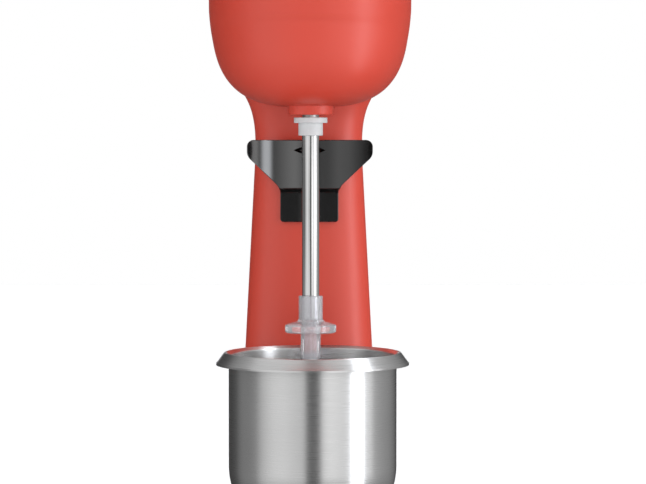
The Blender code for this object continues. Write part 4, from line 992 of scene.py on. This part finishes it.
def make_light():
    world = bpy.data.worlds.new("studio")
    bpy.context.scene.world = world
    world.use_nodes = True
    tree = world.node_tree
    tree.nodes.clear()
    place = node(tree, "ShaderNodeTexCoord")
    parts = node(tree, "ShaderNodeSeparateXYZ")
    link(tree, place.outputs["Generated"], parts.inputs["Vector"])
    x, y, z = (parts.outputs[axis] for axis in "XYZ")
    turn = maths(tree, "ARCTAN2", x, maths(tree, "SUBTRACT", 1, y))
    bearing = maths(tree, "MULTIPLY", maths(tree, "DEGREES", turn), 2)
    card = ramp(tree, bearing, SIDES)
    near_level = soft_edge(tree, maths(tree, "ABSOLUTE", z), 0.12, 0.05)
    shading = maths(tree, "SUBTRACT", maths(tree, "MULTIPLY", ramp(tree, bearing, LEVEL_SHADING), 4), 1)
    card = maths(tree, "MULTIPLY", card, maths(tree, "MULTIPLY_ADD", shading, near_level, 1))
    strip = maths(tree, "MULTIPLY", soft_edge(tree, bearing, 51, 60), soft_edge(tree, bearing, 75, 65))
    low_high = soft_edge(tree, z, -0.6, -0.4)
    strip = maths(tree, "MULTIPLY", maths(tree, "MULTIPLY", strip, low_high), STRIP_GAIN)
    overhead = maths(tree, "MULTIPLY", soft_edge(tree, z, 0.5, 0.9), TOP_SHARE)
    around = maths(tree, "MULTIPLY", card, SIDE_GAIN)
    from_below = maths(tree, "MULTIPLY_ADD", soft_edge(tree, z, -0.6, -0.15), 1 - LOW_SHARE, LOW_SHARE)
    around = maths(tree, "MULTIPLY", around, from_below)
    level = node(tree, "ShaderNodeMix", data_type="FLOAT")
    over_right = soft_edge(tree, x, -0.4, 0.4)
    above = maths(tree, "MULTIPLY_ADD", over_right, TOP_RIGHT - TOP_LEFT, TOP_LEFT)
    link(tree, above, level.inputs["B"])
    link(tree, overhead, level.inputs["Factor"])
    link(tree, around, level.inputs["A"])
    studio = node(tree, "ShaderNodeBackground")
    link(tree, level.outputs["Result"], studio.inputs["Strength"])
    lamp = node(tree, "ShaderNodeBackground")
    lamp.inputs["Color"].default_value = (*STRIP_COLOUR, 1)
    link(tree, strip, lamp.inputs["Strength"])
    lit = node(tree, "ShaderNodeAddShader")
    link(tree, studio.outputs["Background"], lit.inputs[0])
    link(tree, lamp.outputs["Background"], lit.inputs[1])
    plain = node(tree, "ShaderNodeBackground")
    plain.inputs["Color"].default_value = (1, 1, 1, 1)
    plain.inputs["Strength"].default_value = 1.0
    seen = node(tree, "ShaderNodeLightPath")
    mixed = node(tree, "ShaderNodeMixShader")
    link(tree, seen.outputs["Is Camera Ray"], mixed.inputs["Fac"])
    link(tree, lit.outputs["Shader"], mixed.inputs[1])
    link(tree, plain.outputs["Background"], mixed.inputs[2])
    output = node(tree, "ShaderNodeOutputWorld")
    link(tree, mixed.outputs["Shader"], output.inputs["Surface"])


def make_floor():
    reach = 4.0
    data = bpy.data.meshes.new("floor")
    corners = [(-reach, -reach, 0), (reach, -reach, 0), (reach, reach, 0), (-reach, reach, 0)]
    data.from_pydata(corners, [], [(0, 1, 2, 3)])
    floor = bpy.data.objects.new("floor", data)
    bpy.context.scene.collection.objects.link(floor)
    pale = look("pale_floor", (0.8, 0.8, 0.8), 0.9, grain=60, tone=0.01, blotch=0.0, sheen_spread=0.02,
                relief=0.0, Emission_Color=(1, 1, 1, 1), Emission_Strength=0.35)
    data.materials.append(pale)
    floor.visible_glossy = False
    floor.visible_transmission = False


def make_camera():
    lens = bpy.data.cameras.new("camera")
    lens.sensor_width = 36
    lens.lens = FOCAL_LENGTH
    camera = bpy.data.objects.new("camera", lens)
    bpy.context.scene.collection.objects.link(camera)
    camera.location = CAMERA_PLACE
    camera.rotation_euler = (math.radians(90 - CAMERA_DIP), 0, math.radians(CAMERA_TURN))
    bpy.context.scene.camera = camera


def make_fills():
    """Broad, weak lights at the counter's level that brighten without reflections of their own."""
    for number, (bearing, watts) in enumerate(FILLS, 1):
        lamp = bpy.data.lights.new(f"fill_{number}", "AREA")
        lamp.shape = "RECTANGLE"
        lamp.size = 1.6
        lamp.size_y = 0.9
        lamp.energy = watts
        fill = bpy.data.objects.new(f"fill_{number}", lamp)
        bpy.context.scene.collection.objects.link(fill)
        turn = math.radians(bearing)
        fill.location = (2.2 * math.sin(turn), -2.2 * math.cos(turn), 0.35)
        fill.rotation_euler = (math.radians(90), 0, turn)
        fill.visible_glossy = False
        fill.visible_camera = False


make_light()
make_fills()
make_floor()
make_camera()
bpy.context.scene.view_settings.view_transform = "Standard"
